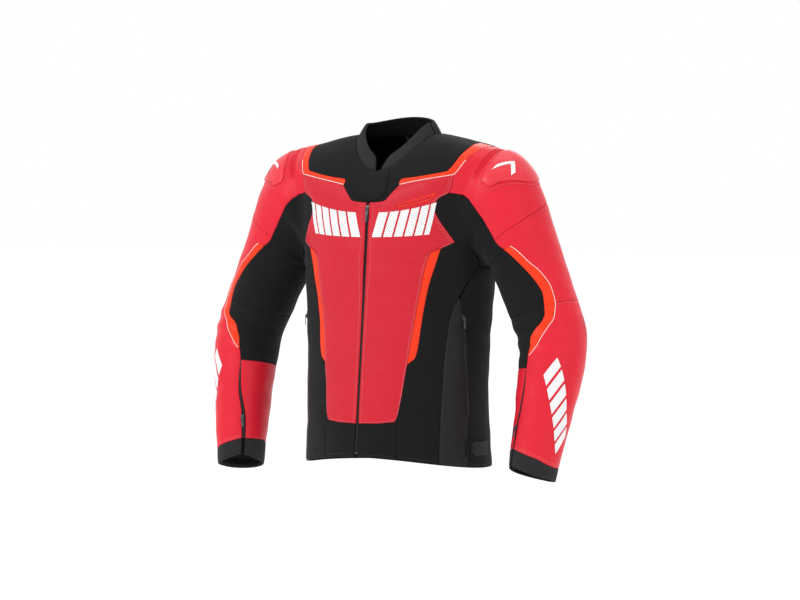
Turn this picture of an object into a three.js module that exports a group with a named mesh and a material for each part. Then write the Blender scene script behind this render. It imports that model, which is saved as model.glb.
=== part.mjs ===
// A leather riding jacket: red perforated chest, black stretch panels, orange
// piping-edged accents, pre-curved sleeves, shoulder sliders, soft armour and zips.
// Millimetres, +Z up, front of the jacket towards -Y, the wearer's left towards +X.
// The origin is the middle of the neck opening, at the level of the collar seam.
import * as THREE from 'three';
import { mergeVertices } from 'three/addons/utils/BufferGeometryUtils.js';

// ---- driving dimensions ----------------------------------------------------
const LEATHER = 3.0;          // thickness of a leather panel with its backing
const STRETCH = 2.4;          // thickness of a stretch fabric panel
const LINING = 1.6;           // thickness of the lining
const SEAM = 0.6;             // how far a panel stops short of its seam line
const CELL = 62;              // longest cell side of a panel's grid
const COLLAR_CELL = 34;       // the same for the collar band
const SMALL_CELL = 22;        // the same for the small pieces that lie on a panel
const HEM = -604;             // level of the hem
const NECK = -40;             // level of the collar seam
const COLLAR_HEIGHT = 46;     // height of the collar pattern; the shares below give the band's own
// Shares of the height that the band stands at its front, side and back, and how much its
// top is drawn in sideways and from front to back.
const COLLAR = { front: 0.62, side: 0.52, back: 0.78, narrow: 0.16, lean: 0.22 };
const ARMHOLE = { x: 203, z: -112, dip: 20 };   // middle of the armhole; its axis dips outwards
const CAP_REACH = 84;         // how far beyond the armhole the shoulder cap ends, along that axis
const SLEEVE_GAP = 2;         // gap between the cap's end and the sleeve that swings past it
const ZIP_HALF = 8;           // half width of the zip tape between the front panels
const ZIP_TOP = -110;         // height where the closed zip's slider rests
const ZIP_BOTTOM = -596;      // height of the zip's lower end
const ZIP_TOP_Y = -127;       // how far forward the zip is at its top
const ZIP_LEAN = 0.098;       // how much the zip comes forward per unit of height

// Level lines of the body. h is the line's height at the centre front; lift is how much
// higher it runs at the side; a, front and back are its half width and depths; nf and nb
// say how square its front and back halves are (2 is an ellipse).
const BODY_ROWS = [
  { h: -604, lift: -24, a: 195, front: 175, back: 132, nf: 1.90, nb: 2.0 },
  { h: -500, lift: -14, a: 193, front: 165, back: 119, nf: 1.90, nb: 2.0 },
  { h: -400, lift: -4, a: 193, front: 155, back: 106, nf: 1.95, nb: 2.1 },
  { h: -300, lift: 0, a: 197, front: 145, back: 116, nf: 2.05, nb: 2.2 },
  { h: -240, lift: 4, a: 201, front: 140, back: 123, nf: 2.15, nb: 2.3 },
  { h: -180, lift: 14, a: 207, front: 134, back: 129, nf: 2.25, nb: 2.3 },
  { h: -130, lift: 48, a: 214, front: 129, back: 128, nf: 2.3, nb: 2.3 },
  { h: -92, lift: 88, a: 216, front: 124, back: 120, nf: 2.3, nb: 2.3 },
  { h: -66, lift: 82, a: 160, front: 110, back: 104, nf: 2.3, nb: 2.3 },
  { h: -48, lift: 76, a: 108, front: 97, back: 86, nf: 2.2, nb: 2.2 },
  { h: -38, lift: 70, a: 80, front: 88, back: 72, nf: 2.0, nb: 2.0 },
];

// Rings of the sleeve, from the armhole to the cuff: centre, how steeply the sleeve runs
// down there, how far it leans forward, and its half widths across and front to back.
const SLEEVE_RINGS = [
  { x: 203, y: 0, z: -112, down: 20, fore: 0, ra: 116, rb: 86 },
  { x: 240, y: 2, z: -131, down: 45, fore: 0, ra: 93, rb: 82 },
  { x: 271, y: 1, z: -186, down: 62, fore: 0, ra: 77, rb: 76 },
  { x: 299, y: -1, z: -242, down: 69, fore: 0, ra: 71, rb: 72 },
  { x: 327, y: -4, z: -305, down: 71, fore: 1, ra: 68, rb: 69 },
  { x: 350, y: -8, z: -368, down: 80, fore: 5, ra: 66, rb: 67 },
  { x: 353, y: -18, z: -425, down: 91, fore: 10, ra: 63, rb: 64 },
  { x: 347, y: -37, z: -505, down: 94, fore: 13, ra: 57, rb: 57 },
  { x: 340, y: -55, z: -580, down: 95, fore: 13, ra: 51, rb: 52 },
  { x: 335, y: -68, z: -640, down: 95, fore: 13, ra: 47, rb: 49 },
];

const COLOURS = {
  red: { color: 0xe32f42, roughness: 0.5, metalness: 0 },
  orange: { color: 0xfc3719, roughness: 0.5, metalness: 0 },
  black: { color: 0x202124, roughness: 0.8, metalness: 0 },
  blackLeather: { color: 0x2a2b2e, roughness: 0.45, metalness: 0 },
  neoprene: { color: 0x35363a, roughness: 0.85, metalness: 0 },
  lining: { color: 0x151517, roughness: 0.9, metalness: 0 },
  foam: { color: 0x3c4a52, roughness: 0.8, metalness: 0 },
  rubber: { color: 0xd92c3e, roughness: 0.4, metalness: 0 },
  metal: { color: 0x55575c, roughness: 0.35, metalness: 1 },
  tape: { color: 0x1b1b1d, roughness: 0.8, metalness: 0 },
};

const jacket = new THREE.Group();
const rad = THREE.MathUtils.degToRad;

// ---- surfaces ---------------------------------------------------------------
// Smooth interpolation of a list of rows: value j at position x between the knots.
function smooth(rows, knots, keys, x) {
  const last = knots.length - 1;
  const at = Math.min(Math.max(x, knots[0]), knots[last]);
  let i = 0;
  while (i < last - 1 && at > knots[i + 1]) i += 1;
  const width = knots[i + 1] - knots[i];
  const u = (at - knots[i]) / width;
  const rise = (j, key) => (rows[j + 1][key] - rows[j][key]) / (knots[j + 1] - knots[j]);
  const slope = (j, key) => {
    if (j === 0) return rise(0, key);
    if (j === last) return rise(last - 1, key);
    return (rise(j - 1, key) + rise(j, key)) / 2;
  };
  const out = {};
  for (const key of keys) {
    const p = rows[i][key];
    const q = rows[i + 1][key];
    const m = slope(i, key) * width;
    const n = slope(i + 1, key) * width;
    const bend = (m + 2 * (p - q) + n) * u + 3 * (q - p) - 2 * m - n;
    out[key] = p + u * m + u * u * bend;
  }
  return out;
}

const bodyKnots = BODY_ROWS.map((row) => row.h);
const bodyKeys = ['lift', 'a', 'front', 'back', 'nf', 'nb'];

// A point of the body: t is the angle round it from the centre front, h the level.
function bodyPoint(t, h) {
  const row = smooth(BODY_ROWS, bodyKnots, bodyKeys, h);
  const s = Math.sin(rad(t));
  const c = Math.cos(rad(t));
  const power = 2 / (c > 0 ? row.nf : row.nb);
  const x = row.a * Math.sign(s) * Math.abs(s) ** power;
  const y = (c > 0 ? -row.front : row.back) * Math.abs(c) ** power;
  const lift = c > 0 ? row.lift * s * s : row.lift;
  return new THREE.Vector3(x, y, h + lift);
}

const ringKnots = SLEEVE_RINGS.map((ring, i) => i);
const ringKeys = ['x', 'y', 'z', 'down', 'fore', 'ra', 'rb'];

// Centre and directions of the sleeve at ring s: along it, outwards and to the front.
function sleeveFrame(s) {
  const ring = smooth(SLEEVE_RINGS, ringKnots, ringKeys, s);
  const down = rad(ring.down);
  const fore = rad(ring.fore);
  const along = new THREE.Vector3(
    Math.cos(down) * Math.cos(fore), -Math.sin(fore), -Math.sin(down) * Math.cos(fore));
  const front = new THREE.Vector3(0, -1, 0);
  front.addScaledVector(along, -front.dot(along)).normalize();
  const outward = new THREE.Vector3().crossVectors(front, along);
  return { ring, along, front, outward, centre: new THREE.Vector3(ring.x, ring.y, ring.z) };
}

// A point of the sleeve: psi is 0 on the outside, 90 at the front and 180 at the body.
function sleevePoint(psi, s) {
  const { ring, front, outward, centre } = sleeveFrame(s);
  return centre
    .addScaledVector(outward, ring.ra * Math.cos(rad(psi)))
    .addScaledVector(front, ring.rb * Math.sin(rad(psi)));
}

// The collar band: h runs from 0 at the collar seam to 1 at its top edge.
function collarPoint(t, h) {
  const base = bodyPoint(t, NECK);
  const s = Math.sin(rad(t));
  const c = Math.cos(rad(t));
  const { front, side, back, narrow, lean } = COLLAR;
  const share = c > 0 ? front + (side - front) * s * s : side + (back - side) * c * c;
  return new THREE.Vector3(
    base.x * (1 - narrow * h), base.y * (1 - lean * h), base.z + COLLAR_HEIGHT * share * h);
}

function normalOf(surface, u, v, du, dv) {
  const a = surface(u + du, v).sub(surface(u - du, v));
  const b = surface(u, v + dv).sub(surface(u, v - dv));
  return a.cross(b).normalize();
}

// ---- panels -----------------------------------------------------------------
// Adds points on the longest stretches of an edge until it has the count wanted.
function fit(edge, count, surface) {
  const points = edge.map((p) => [...p]);
  while (points.length < count) {
    let longest = 0;
    let at = 0;
    for (let i = 0; i + 1 < points.length; i += 1) {
      const length = surface(...points[i]).distanceTo(surface(...points[i + 1]));
      if (length > longest) {
        longest = length;
        at = i;
      }
    }
    const [p, q] = [points[at], points[at + 1]];
    points.splice(at + 1, 0, [(p[0] + q[0]) / 2, (p[1] + q[1]) / 2]);
  }
  return points;
}

// Samples a straight edge at the same fractions of its length as a detailed one.
function follow(straight, detailed, surface) {
  const marks = [0];
  for (let i = 0; i + 1 < detailed.length; i += 1) {
    marks.push(marks[i] + surface(...detailed[i]).distanceTo(surface(...detailed[i + 1])));
  }
  return marks.map((mark) => mix(straight[0], straight[1], mark / marks[marks.length - 1]));
}

// Brings two opposite edges to the same number of points.
function pairUp(one, two, count, surface) {
  const a = one.length === 2 && two.length > 2 ? null : fit(one, count, surface);
  const b = two.length === 2 && one.length > 2 ? null : fit(two, count, surface);
  return [a ?? follow(one, b, surface), b ?? follow(two, a, surface)];
}

function stepsFor(edge, surface, cell) {
  let length = 0;
  for (let i = 0; i + 1 < edge.length; i += 1) {
    length += surface(...edge[i]).distanceTo(surface(...edge[i + 1]));
  }
  return Math.max(edge.length, Math.ceil(length / cell) + 1);
}

function mix(p, q, k) {
  return [p[0] + (q[0] - p[0]) * k, p[1] + (q[1] - p[1]) * k];
}

// Grid of a four-sided panel. Its edges all run away from the first corner:
// low and high along u, left and right along v.
function panelGrid(surface, { low, high, left, right }, cell) {
  const across = Math.max(stepsFor(low, surface, cell), stepsFor(high, surface, cell));
  const up = Math.max(stepsFor(left, surface, cell), stepsFor(right, surface, cell));
  const [b, t] = pairUp(low, high, across, surface);
  const [l, r] = pairUp(left, right, up, surface);
  const grid = [];
  for (let j = 0; j < up; j += 1) {
    const v = j / (up - 1);
    const line = [];
    for (let i = 0; i < across; i += 1) {
      const u = i / (across - 1);
      const ruled = mix(l[j], r[j], u);
      const lofted = mix(b[i], t[i], v);
      const corners = mix(mix(b[0], b[across - 1], u), mix(t[0], t[across - 1], u), v);
      line.push([ruled[0] + lofted[0] - corners[0], ruled[1] + lofted[1] - corners[1]]);
    }
    grid.push(line);
  }
  return grid;
}

// Moves the rim of a grid inwards, so that a panel stops short of its seams.
function shrinkRim(grid, surface, by) {
  const rows = grid.length;
  const columns = grid[0].length;
  const pull = (edge, inner) => {
    const gap = surface(...edge).distanceTo(surface(...inner));
    return mix(edge, inner, Math.min(0.45, by / Math.max(gap, 1e-6)));
  };
  for (const line of grid) {
    line[0] = pull(line[0], line[1]);
    line[columns - 1] = pull(line[columns - 1], line[columns - 2]);
  }
  for (let i = 0; i < columns; i += 1) {
    grid[0][i] = pull(grid[0][i], grid[1][i]);
    grid[rows - 1][i] = pull(grid[rows - 1][i], grid[rows - 2][i]);
  }
}

// Closes two point grids, an outer and an inner one, into one shell.
function shellGeometry(outer, inner) {
  const rows = outer.length;
  const columns = outer[0].length;
  const positions = [];
  for (const points of [outer, inner]) {
    for (const line of points) {
      for (const p of line) positions.push(p.x, p.y, p.z);
    }
  }
  const out = (i, j) => j * columns + i;
  const ins = (i, j) => rows * columns + j * columns + i;
  const indices = [];
  const quad = (a, b, c, d) => indices.push(a, b, c, a, c, d);
  for (let j = 0; j + 1 < rows; j += 1) {
    for (let i = 0; i + 1 < columns; i += 1) {
      quad(out(i, j), out(i + 1, j), out(i + 1, j + 1), out(i, j + 1));
      quad(ins(i, j), ins(i, j + 1), ins(i + 1, j + 1), ins(i + 1, j));
    }
    quad(out(0, j), out(0, j + 1), ins(0, j + 1), ins(0, j));
    quad(out(columns - 1, j + 1), out(columns - 1, j), ins(columns - 1, j), ins(columns - 1, j + 1));
  }
  for (let i = 0; i + 1 < columns; i += 1) {
    quad(out(i + 1, 0), out(i, 0), ins(i, 0), ins(i + 1, 0));
    quad(out(i, rows - 1), out(i + 1, rows - 1), ins(i + 1, rows - 1), ins(i, rows - 1));
  }
  const geometry = new THREE.BufferGeometry();
  geometry.setAttribute('position', new THREE.Float32BufferAttribute(positions, 3));
  geometry.setIndex(indices);
  geometry.computeVertexNormals();
  return geometry;
}

function mirrored(geometry) {
  const copy = geometry.clone();
  copy.scale(-1, 1, 1);
  const index = copy.getIndex();
  for (let i = 0; i < index.count; i += 3) {
    const swap = index.getX(i + 1);
    index.setX(i + 1, index.getX(i + 2));
    index.setX(i + 2, swap);
  }
  copy.computeVertexNormals();
  return copy;
}

// An extrusion with its shared corners joined, so that it has an index.
function joined(geometry) {
  geometry.deleteAttribute('normal');
  geometry.deleteAttribute('uv');
  const solid = mergeVertices(geometry, 1e-3);
  solid.computeVertexNormals();
  return solid;
}

function addMesh(name, geometry, colour) {
  const material = new THREE.MeshStandardMaterial(COLOURS[colour]);
  const mesh = new THREE.Mesh(geometry, material);
  mesh.name = name;
  jacket.add(mesh);
  return mesh;
}

function panelGeometry(surface, step, edges, { depth = 0, thickness, cell = CELL }) {
  const grid = panelGrid(surface, edges, cell);
  shrinkRim(grid, surface, SEAM);
  const at = (distance) => grid.map((line) => line.map(([u, v]) => {
    const normal = normalOf(surface, u, v, ...step);
    return surface(u, v).addScaledVector(normal, -distance);
  }));
  return shellGeometry(at(depth), at(depth + thickness));
}

const BODY_STEP = [0.4, 0.4];
const SLEEVE_STEP = [0.8, 0.02];
const COLLAR_STEP = [0.4, 0.02];

// A panel of the body on both sides, as NAME_l and NAME_r. Edges are lists of [t, h].
function bodyPair(name, edges, colour, options) {
  const geometry = panelGeometry(bodyPoint, BODY_STEP, edges, options);
  addMesh(`${name}_l`, geometry, colour);
  addMesh(`${name}_r`, mirrored(geometry), colour);
}

// A panel of both sleeves. Edges are lists of [psi, s]; low is the end nearer the shoulder.
function sleevePair(name, edges, colour, options) {
  const geometry = panelGeometry(sleevePoint, SLEEVE_STEP, edges, options);
  addMesh(`${name}_l`, geometry, colour);
  addMesh(`${name}_r`, mirrored(geometry), colour);
}

// ---- seam lines of the body, as [t, h] --------------------------------------
// Angle at which a front level line is x away from the centre.
function frontAngle(x, h) {
  const { a, nf } = smooth(BODY_ROWS, bodyKnots, bodyKeys, h);
  return THREE.MathUtils.radToDeg(Math.asin((x / a) ** (nf / 2)));
}

const zipEdge = (h) => [frontAngle(ZIP_HALF, h), h];
const throatEdge = (h) => [frontAngle(0.4, h), h];

const CHEST_LOW = -538;
const YOKE_LOW = -103.5;
const ARMPIT = [78, -232];
const SHOULDER_T = 90;                          // the shoulder seam
const BACK_SEAM_T = 150;                        // seam between the back and the flank

const chestCorner = [25.7, -520];
const accentFoot = [30, -420];
const accentHeel = [34.5, -408];
const accentTip = [38.5, -202];
const accentTop = [45, -197];
const chestTip = [55, -188];
const lensTop = [38.5, -117];
const saddleFront = [46.4, -117.5];
const yokeBend = [17, -76];
const accentBend = [49, -97];

const chestBottom = [zipEdge(CHEST_LOW), [20, -533], chestCorner];
const chestSide = [chestCorner, [27.5, -485], [29, -445], accentFoot];
const accentInner = [accentFoot, [31, -385], [33, -320], [34.5, -275], [35.8, -232], accentTip];
const accentOuter = [accentHeel, [36, -385], [37.5, -320], [39.5, -268], [43, -222], accentTop];
const lensFront = [chestTip, [46.5, -166], [40, -146], [38, -130], lensTop];
const chestTop = [zipEdge(YOKE_LOW), [7.5, -100], yokeBend, [28, -80.5], accentBend];
const yokeEdge = [[17.2, -72.5], [23, -69], [46, -87.5], [60.5, -79.5], [77, -74.5]];
const yokeEnd = [[SHOULDER_T, -71.5], [100, -70.5]];
const accentEdge = [yokeBend, [28, -80.5], accentBend, [60, -88], [76, -84], [90, -83], [100, -83.5]];
const armholeFront = [[68, -203], [63, -175], [60.5, -150], [60, -132], [60, -119]];
const armholeTop = [[60, -119], [60.5, -108], [66, -99], [76, -94.5], [90, -93.5], [104, -94.5],
  [114, -99], [119, -108], [120, -119]];
const saddleBack = [134, -117.5];
const saddleInner = [saddleFront, accentBend, [60, -88], [76, -84], [90, -83], [100, -83.5],
  [120, -88], [131, -97], saddleBack];
const wedgeFront = [[51, HEM], [51.5, -512], [53, -420], [55, -350], [57.5, -317], [61.5, -293]];
const wedgeBack = [[72, HEM], [71.8, -512], [69, -420], [67, -350], [65.5, -318], [63, -293]];

// ---- body panels ------------------------------------------------------------
function buildFront() {
  const leather = { thickness: LEATHER };
  const stretch = { thickness: STRETCH };
  const chestEdge = [...chestSide, ...accentInner.slice(1), accentTop, ...lensFront,
    saddleFront, accentBend];
  bodyPair('chest_panel', {
    low: chestBottom, high: chestTop, left: [zipEdge(CHEST_LOW), zipEdge(YOKE_LOW)], right: chestEdge,
  }, 'red', leather);
  bodyPair('side_accent', {
    low: [accentFoot, accentHeel], high: [accentTip, accentTop], left: accentInner, right: accentOuter,
  }, 'orange', leather);
  bodyPair('front_yoke', {
    low: [throatEdge(YOKE_LOW), ...chestTop.slice(1, 3), ...yokeEdge, yokeEnd[0]],
    high: [throatEdge(NECK), [SHOULDER_T, NECK]],
    left: [throatEdge(YOKE_LOW), throatEdge(NECK)],
    right: [yokeEnd[0], [SHOULDER_T, NECK]],
  }, 'black', leather);
  bodyPair('yoke_accent', {
    low: accentEdge, high: [...yokeEdge, ...yokeEnd],
    left: [yokeBend, yokeEdge[0]], right: [accentEdge[6], yokeEnd[1]],
  }, 'orange', leather);
  bodyPair('shoulder_saddle', {
    low: armholeTop, high: saddleInner,
    left: [armholeTop[0], saddleFront], right: [armholeTop[8], saddleBack],
  }, 'red', leather);
  bodyPair('armhole_stretch', {
    low: [chestTip, armholeFront[0]], high: [lensTop, saddleFront, armholeTop[0]],
    left: lensFront, right: armholeFront,
  }, 'black', stretch);
  bodyPair('front_hem', {
    low: [zipEdge(HEM), [chestCorner[0], HEM]], high: chestBottom,
    left: [zipEdge(HEM), zipEdge(CHEST_LOW)], right: [[chestCorner[0], HEM], chestCorner],
  }, 'black', stretch);
  bodyPair('lower_front', {
    low: [[chestCorner[0], HEM], wedgeFront[0]], high: [chestTip, armholeFront[0], ARMPIT],
    left: [[chestCorner[0], HEM], ...chestSide, ...accentOuter, chestTip],
    right: [...wedgeFront, ARMPIT],
  }, 'black', stretch);
  bodyPair('side_panel', {
    low: [wedgeFront[0], wedgeBack[0]], high: [wedgeFront[5], wedgeBack[5]],
    left: wedgeFront, right: wedgeBack,
  }, 'blackLeather', leather);
}

// The other side's seam, written for a panel that runs across the centre back.
const across = (edge) => edge.map(([t, h]) => [360 - t, h]).reverse();

const YOKE_BACK_LOW = -124;
const WAIST_SEAM = -300;                        // seam between the back and lumbar panels

function buildBack() {
  const leather = { thickness: LEATHER };
  const stretch = { thickness: STRETCH };
  const left = BACK_SEAM_T;
  const right = 360 - BACK_SEAM_T;
  const yokeHalf = [...yokeEnd, accentEdge[6], ...saddleInner.slice(6), [left, -122]];
  const yokeLow = [...yokeHalf, [180, YOKE_BACK_LOW], ...across(yokeHalf)];
  const neckLine = [[SHOULDER_T, NECK], [180, NECK], [360 - SHOULDER_T, NECK]];
  addMesh('back_yoke', panelGeometry(bodyPoint, BODY_STEP, {
    low: yokeLow, high: neckLine,
    left: [yokeLow[0], neckLine[0]], right: [yokeLow[yokeLow.length - 1], neckLine[2]],
  }, leather), 'black');
  const bands = [
    ['back_panel', WAIST_SEAM, YOKE_BACK_LOW, 'red'],
    ['lumbar_panel', HEM, WAIST_SEAM, 'blackLeather'],
  ];
  for (const [name, low, high, colour] of bands) {
    const seamHigh = high === YOKE_BACK_LOW ? -122 : high;
    addMesh(name, panelGeometry(bodyPoint, BODY_STEP, {
      low: [[left, low], [180, low], [right, low]],
      high: [[left, seamHigh], [180, high], [right, seamHigh]],
      left: [[left, low], [left, seamHigh]],
      right: [[right, low], [right, seamHigh]],
    }, leather), colour);
  }
  bodyPair('flank', {
    low: [wedgeBack[0], [BACK_SEAM_T, HEM]],
    high: [wedgeBack[5], ARMPIT, [90, -237], [102, -230], [112, -203], [117, -175],
      [119.5, -150], [120, -119], saddleBack, [BACK_SEAM_T, -122]],
    left: wedgeBack,
    right: [[BACK_SEAM_T, HEM], [BACK_SEAM_T, WAIST_SEAM], [BACK_SEAM_T, -122]],
  }, 'black', stretch);
}

function buildInside() {
  const open = 8;
  const top = -250;
  const low = HEM + 8;
  addMesh('torso_lining', panelGeometry(bodyPoint, BODY_STEP, {
    low: [[open, low], [180, low], [360 - open, low]],
    high: [[open, top], [180, top], [360 - open, top]],
    left: [[open, low], [open, top]],
    right: [[360 - open, low], [360 - open, top]],
  }, { depth: 8, thickness: LINING, cell: 42 }), 'lining');
  addMesh('back_protector', panelGeometry(bodyPoint, BODY_STEP, {
    low: [[164, -490], [180, -496], [196, -490]],
    high: [[160, -150], [180, -145], [200, -150]],
    left: [[164, -490], [154, -330], [154, -230], [160, -150]],
    right: [[196, -490], [206, -330], [206, -230], [200, -150]],
  }, { depth: 15, thickness: 10, cell: 42 }), 'foam');
  addMesh('connection_zip', panelGeometry(bodyPoint, BODY_STEP, {
    low: [150, 161, 173, 187, 199, 210].map((t) => [t, -590]),
    high: [150, 161, 173, 187, 199, 210].map((t) => [t, -562]),
    left: [[150, -590], [150, -562]],
    right: [[210, -590], [210, -562]],
  }, { depth: 14, thickness: 2 }), 'tape');
}

// ---- collar -----------------------------------------------------------------
function buildCollar() {
  const open = 7;
  addMesh('collar_band', panelGeometry(collarPoint, COLLAR_STEP, {
    low: [[open, 0.02], [180, 0.02], [360 - open, 0.02]],
    high: [[open + 9, 1], [180, 1], [351 - open, 1]],
    left: [[open, 0.02], [open + 9, 1]],
    right: [[360 - open, 0.02], [351 - open, 1]],
  }, { thickness: 5, cell: COLLAR_CELL }), 'neoprene');
  addMesh('collar_tab', panelGeometry(bodyPoint, BODY_STEP, {
    low: [[-4, -88], [4, -88]],
    high: [[-9, -46], [9, -46]],
    left: [[-4, -88], [-9, -70], [-9, -46]],
    right: [[4, -88], [9, -70], [9, -46]],
  }, { depth: -4.6, thickness: 3.2, cell: SMALL_CELL }), 'black');
}

// ---- zips -------------------------------------------------------------------
// A point of the front zip: x across, depth behind the front surface, z its height.
function zipPoint(x, depth, z) {
  return new THREE.Vector3(x, ZIP_TOP_Y - ZIP_LEAN * (ZIP_TOP - z) + depth, z);
}

// Extrudes a section, drawn as [x, depth], down the front zip between two heights.
function zipExtrusion(section, top, bottom) {
  const shape = new THREE.Shape(section.map(([x, depth]) => new THREE.Vector2(x, -depth)));
  const geometry = new THREE.ExtrudeGeometry(shape, { depth: top - bottom, bevelEnabled: false });
  const run = new THREE.Matrix4().makeBasis(
    new THREE.Vector3(1, 0, 0), new THREE.Vector3(0, -1, 0), new THREE.Vector3(0, -ZIP_LEAN, -1));
  run.setPosition(zipPoint(0, 0, top));
  return joined(geometry.applyMatrix4(run));
}

// A slider or puller: a box with bevelled corners, its length along -Z and its back at y = 0.
function fobGeometry(width, length, depth, waist) {
  const half = width / 2;
  const outline = new THREE.Shape();
  outline.moveTo(-half, 0);
  outline.lineTo(half, 0);
  outline.lineTo(half * waist, -length / 2);
  outline.lineTo(half, -length);
  outline.lineTo(-half, -length);
  outline.lineTo(-half * waist, -length / 2);
  outline.closePath();
  const geometry = new THREE.ExtrudeGeometry(outline, { depth, bevelEnabled: false });
  geometry.rotateX(Math.PI / 2);
  return joined(geometry);
}

// Places a fob on a line from one point to another, standing off along a normal.
function placeFob(name, geometry, at, down, normal, colour) {
  const mesh = addMesh(name, geometry, colour);
  const back = normal.clone().negate();
  const up = down.clone().negate();
  back.addScaledVector(up, -back.dot(up)).normalize();
  const side = new THREE.Vector3().crossVectors(back, up);
  const turn = new THREE.Matrix4().makeBasis(side, back, up);
  mesh.quaternion.setFromRotationMatrix(turn);
  mesh.position.copy(at);
  return mesh;
}

const SLIDER = { width: 10, length: 15, thick: 3.4 };
const PULLER = { width: 6, length: 30, thick: 1.6 };

function buildFrontZip() {
  const tape = [[0.4, 1.2], [3.4, 1.2], [3.4, 5.6], [16, 5.6], [16, 6.8], [0.4, 6.8]];
  const stringer = zipExtrusion(tape, ZIP_TOP + 6, ZIP_BOTTOM);
  addMesh('zip_stringer_l', stringer, 'tape');
  addMesh('zip_stringer_r', mirrored(stringer), 'tape');
  const down = zipPoint(0, 0, ZIP_TOP - 1).sub(zipPoint(0, 0, ZIP_TOP)).normalize();
  const front = new THREE.Vector3(0, -1, 0);
  const slider = fobGeometry(SLIDER.width, SLIDER.length, SLIDER.thick, 0.8);
  placeFob('zip_slider', slider, zipPoint(0, 0.7, ZIP_TOP), down, front, 'metal');
  const puller = fobGeometry(PULLER.width, PULLER.length, PULLER.thick, 0.7);
  const hang = zipPoint(0, 0.2 - SLIDER.thick, ZIP_TOP - 4);
  placeFob('zip_puller', puller, hang, down, front, 'metal');
}

function mirroredMesh(mesh, name) {
  mesh.updateMatrix();
  const geometry = mirrored(mesh.geometry.clone().applyMatrix4(mesh.matrix));
  const copy = new THREE.Mesh(geometry, mesh.material);
  copy.name = name;
  jacket.add(copy);
}

function buildSmallZips() {
  const stand = 4.4;
  const size = { width: 8, length: 26, thick: 3 };
  const runs = [
    ['pocket_slider', bodyPoint(66, -326), bodyPoint(71, -505), normalOf(bodyPoint, 66, -326, ...BODY_STEP)],
    ['cuff_slider', sleevePoint(122, 7.55), sleevePoint(125, 7.9),
      normalOf(sleevePoint, 123, 7.7, ...SLEEVE_STEP)],
  ];
  for (const [name, from, to, normal] of runs) {
    const down = to.clone().sub(from).normalize();
    const fob = fobGeometry(size.width, size.length, size.thick, 0.75);
    const at = from.clone().addScaledVector(normal, stand - size.thick);
    mirroredMesh(placeFob(`${name}_l`, fob, at, down, normal, 'metal'), `${name}_r`);
  }
}

function buildWaistTabs() {
  bodyPair('waist_tab', {
    low: [[74, -582], [92, -582]],
    high: [[74, -556], [92, -556]],
    left: [[74, -582], [74, -556]],
    right: [[92, -582], [92, -556]],
  }, 'black', { depth: -4, thickness: 3, cell: SMALL_CELL });
}

// ---- sleeves, as [psi, s] ---------------------------------------------------
const BACK_PSI = -125;                          // seam at the back of the sleeve
const INNER_PSI = 360 + BACK_PSI;               // the same seam, from the inner side
const FRONT_PSI = 94;                           // seam at the front of the shoulder cap
const UPPER_END = 4.15;                         // ring where the upper sleeve ends
// Ring at which the sleeve, at angle psi, is a given distance beyond the armhole.
function ringBeyond(psi, distance) {
  const dip = rad(ARMHOLE.dip);
  let [near, far] = [0, 4];
  for (let i = 0; i < 30; i += 1) {
    const middle = (near + far) / 2;
    const p = sleevePoint(psi, middle);
    const reach = (p.x - ARMHOLE.x) * Math.cos(dip) - (p.z - ARMHOLE.z) * Math.sin(dip);
    if (reach < distance) near = middle;
    else far = middle;
  }
  return near;
}

// Edge round the sleeve, from one angle to another, that lies in a plane across the armhole.
function planeEdge(from, to, distance) {
  const count = Math.ceil(Math.abs(to - from) / 20);
  const angles = Array.from({ length: count + 1 }, (_, i) => from + ((to - from) * i) / count);
  return angles.map((psi) => [psi, ringBeyond(psi, distance)]);
}

const flareOuter = [[78, 2.15], [70, 2.41], [61.5, 2.79], [50, 3.16], [42, 3.59], [41.5, 3.93],
  [43, UPPER_END]];
const flareInner = [[90, 2.15], [84, 2.4], [74, 2.84], [66, 3.2], [60, 3.55], [58, 3.8], [62, UPPER_END]];
const crookEdge = [[43, 4.42], [52, 4.62], [68, 4.88], [83, 5.22], [95, 5.6], [105, 5.85], [110, 6.2]];
const cuffEdge = [[BACK_PSI, 8.05], [-60, 8.4], [-3, 8.6], [32, 8.5], [58, 8.35], [80, 8.2], [120, 8.0]];

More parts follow.
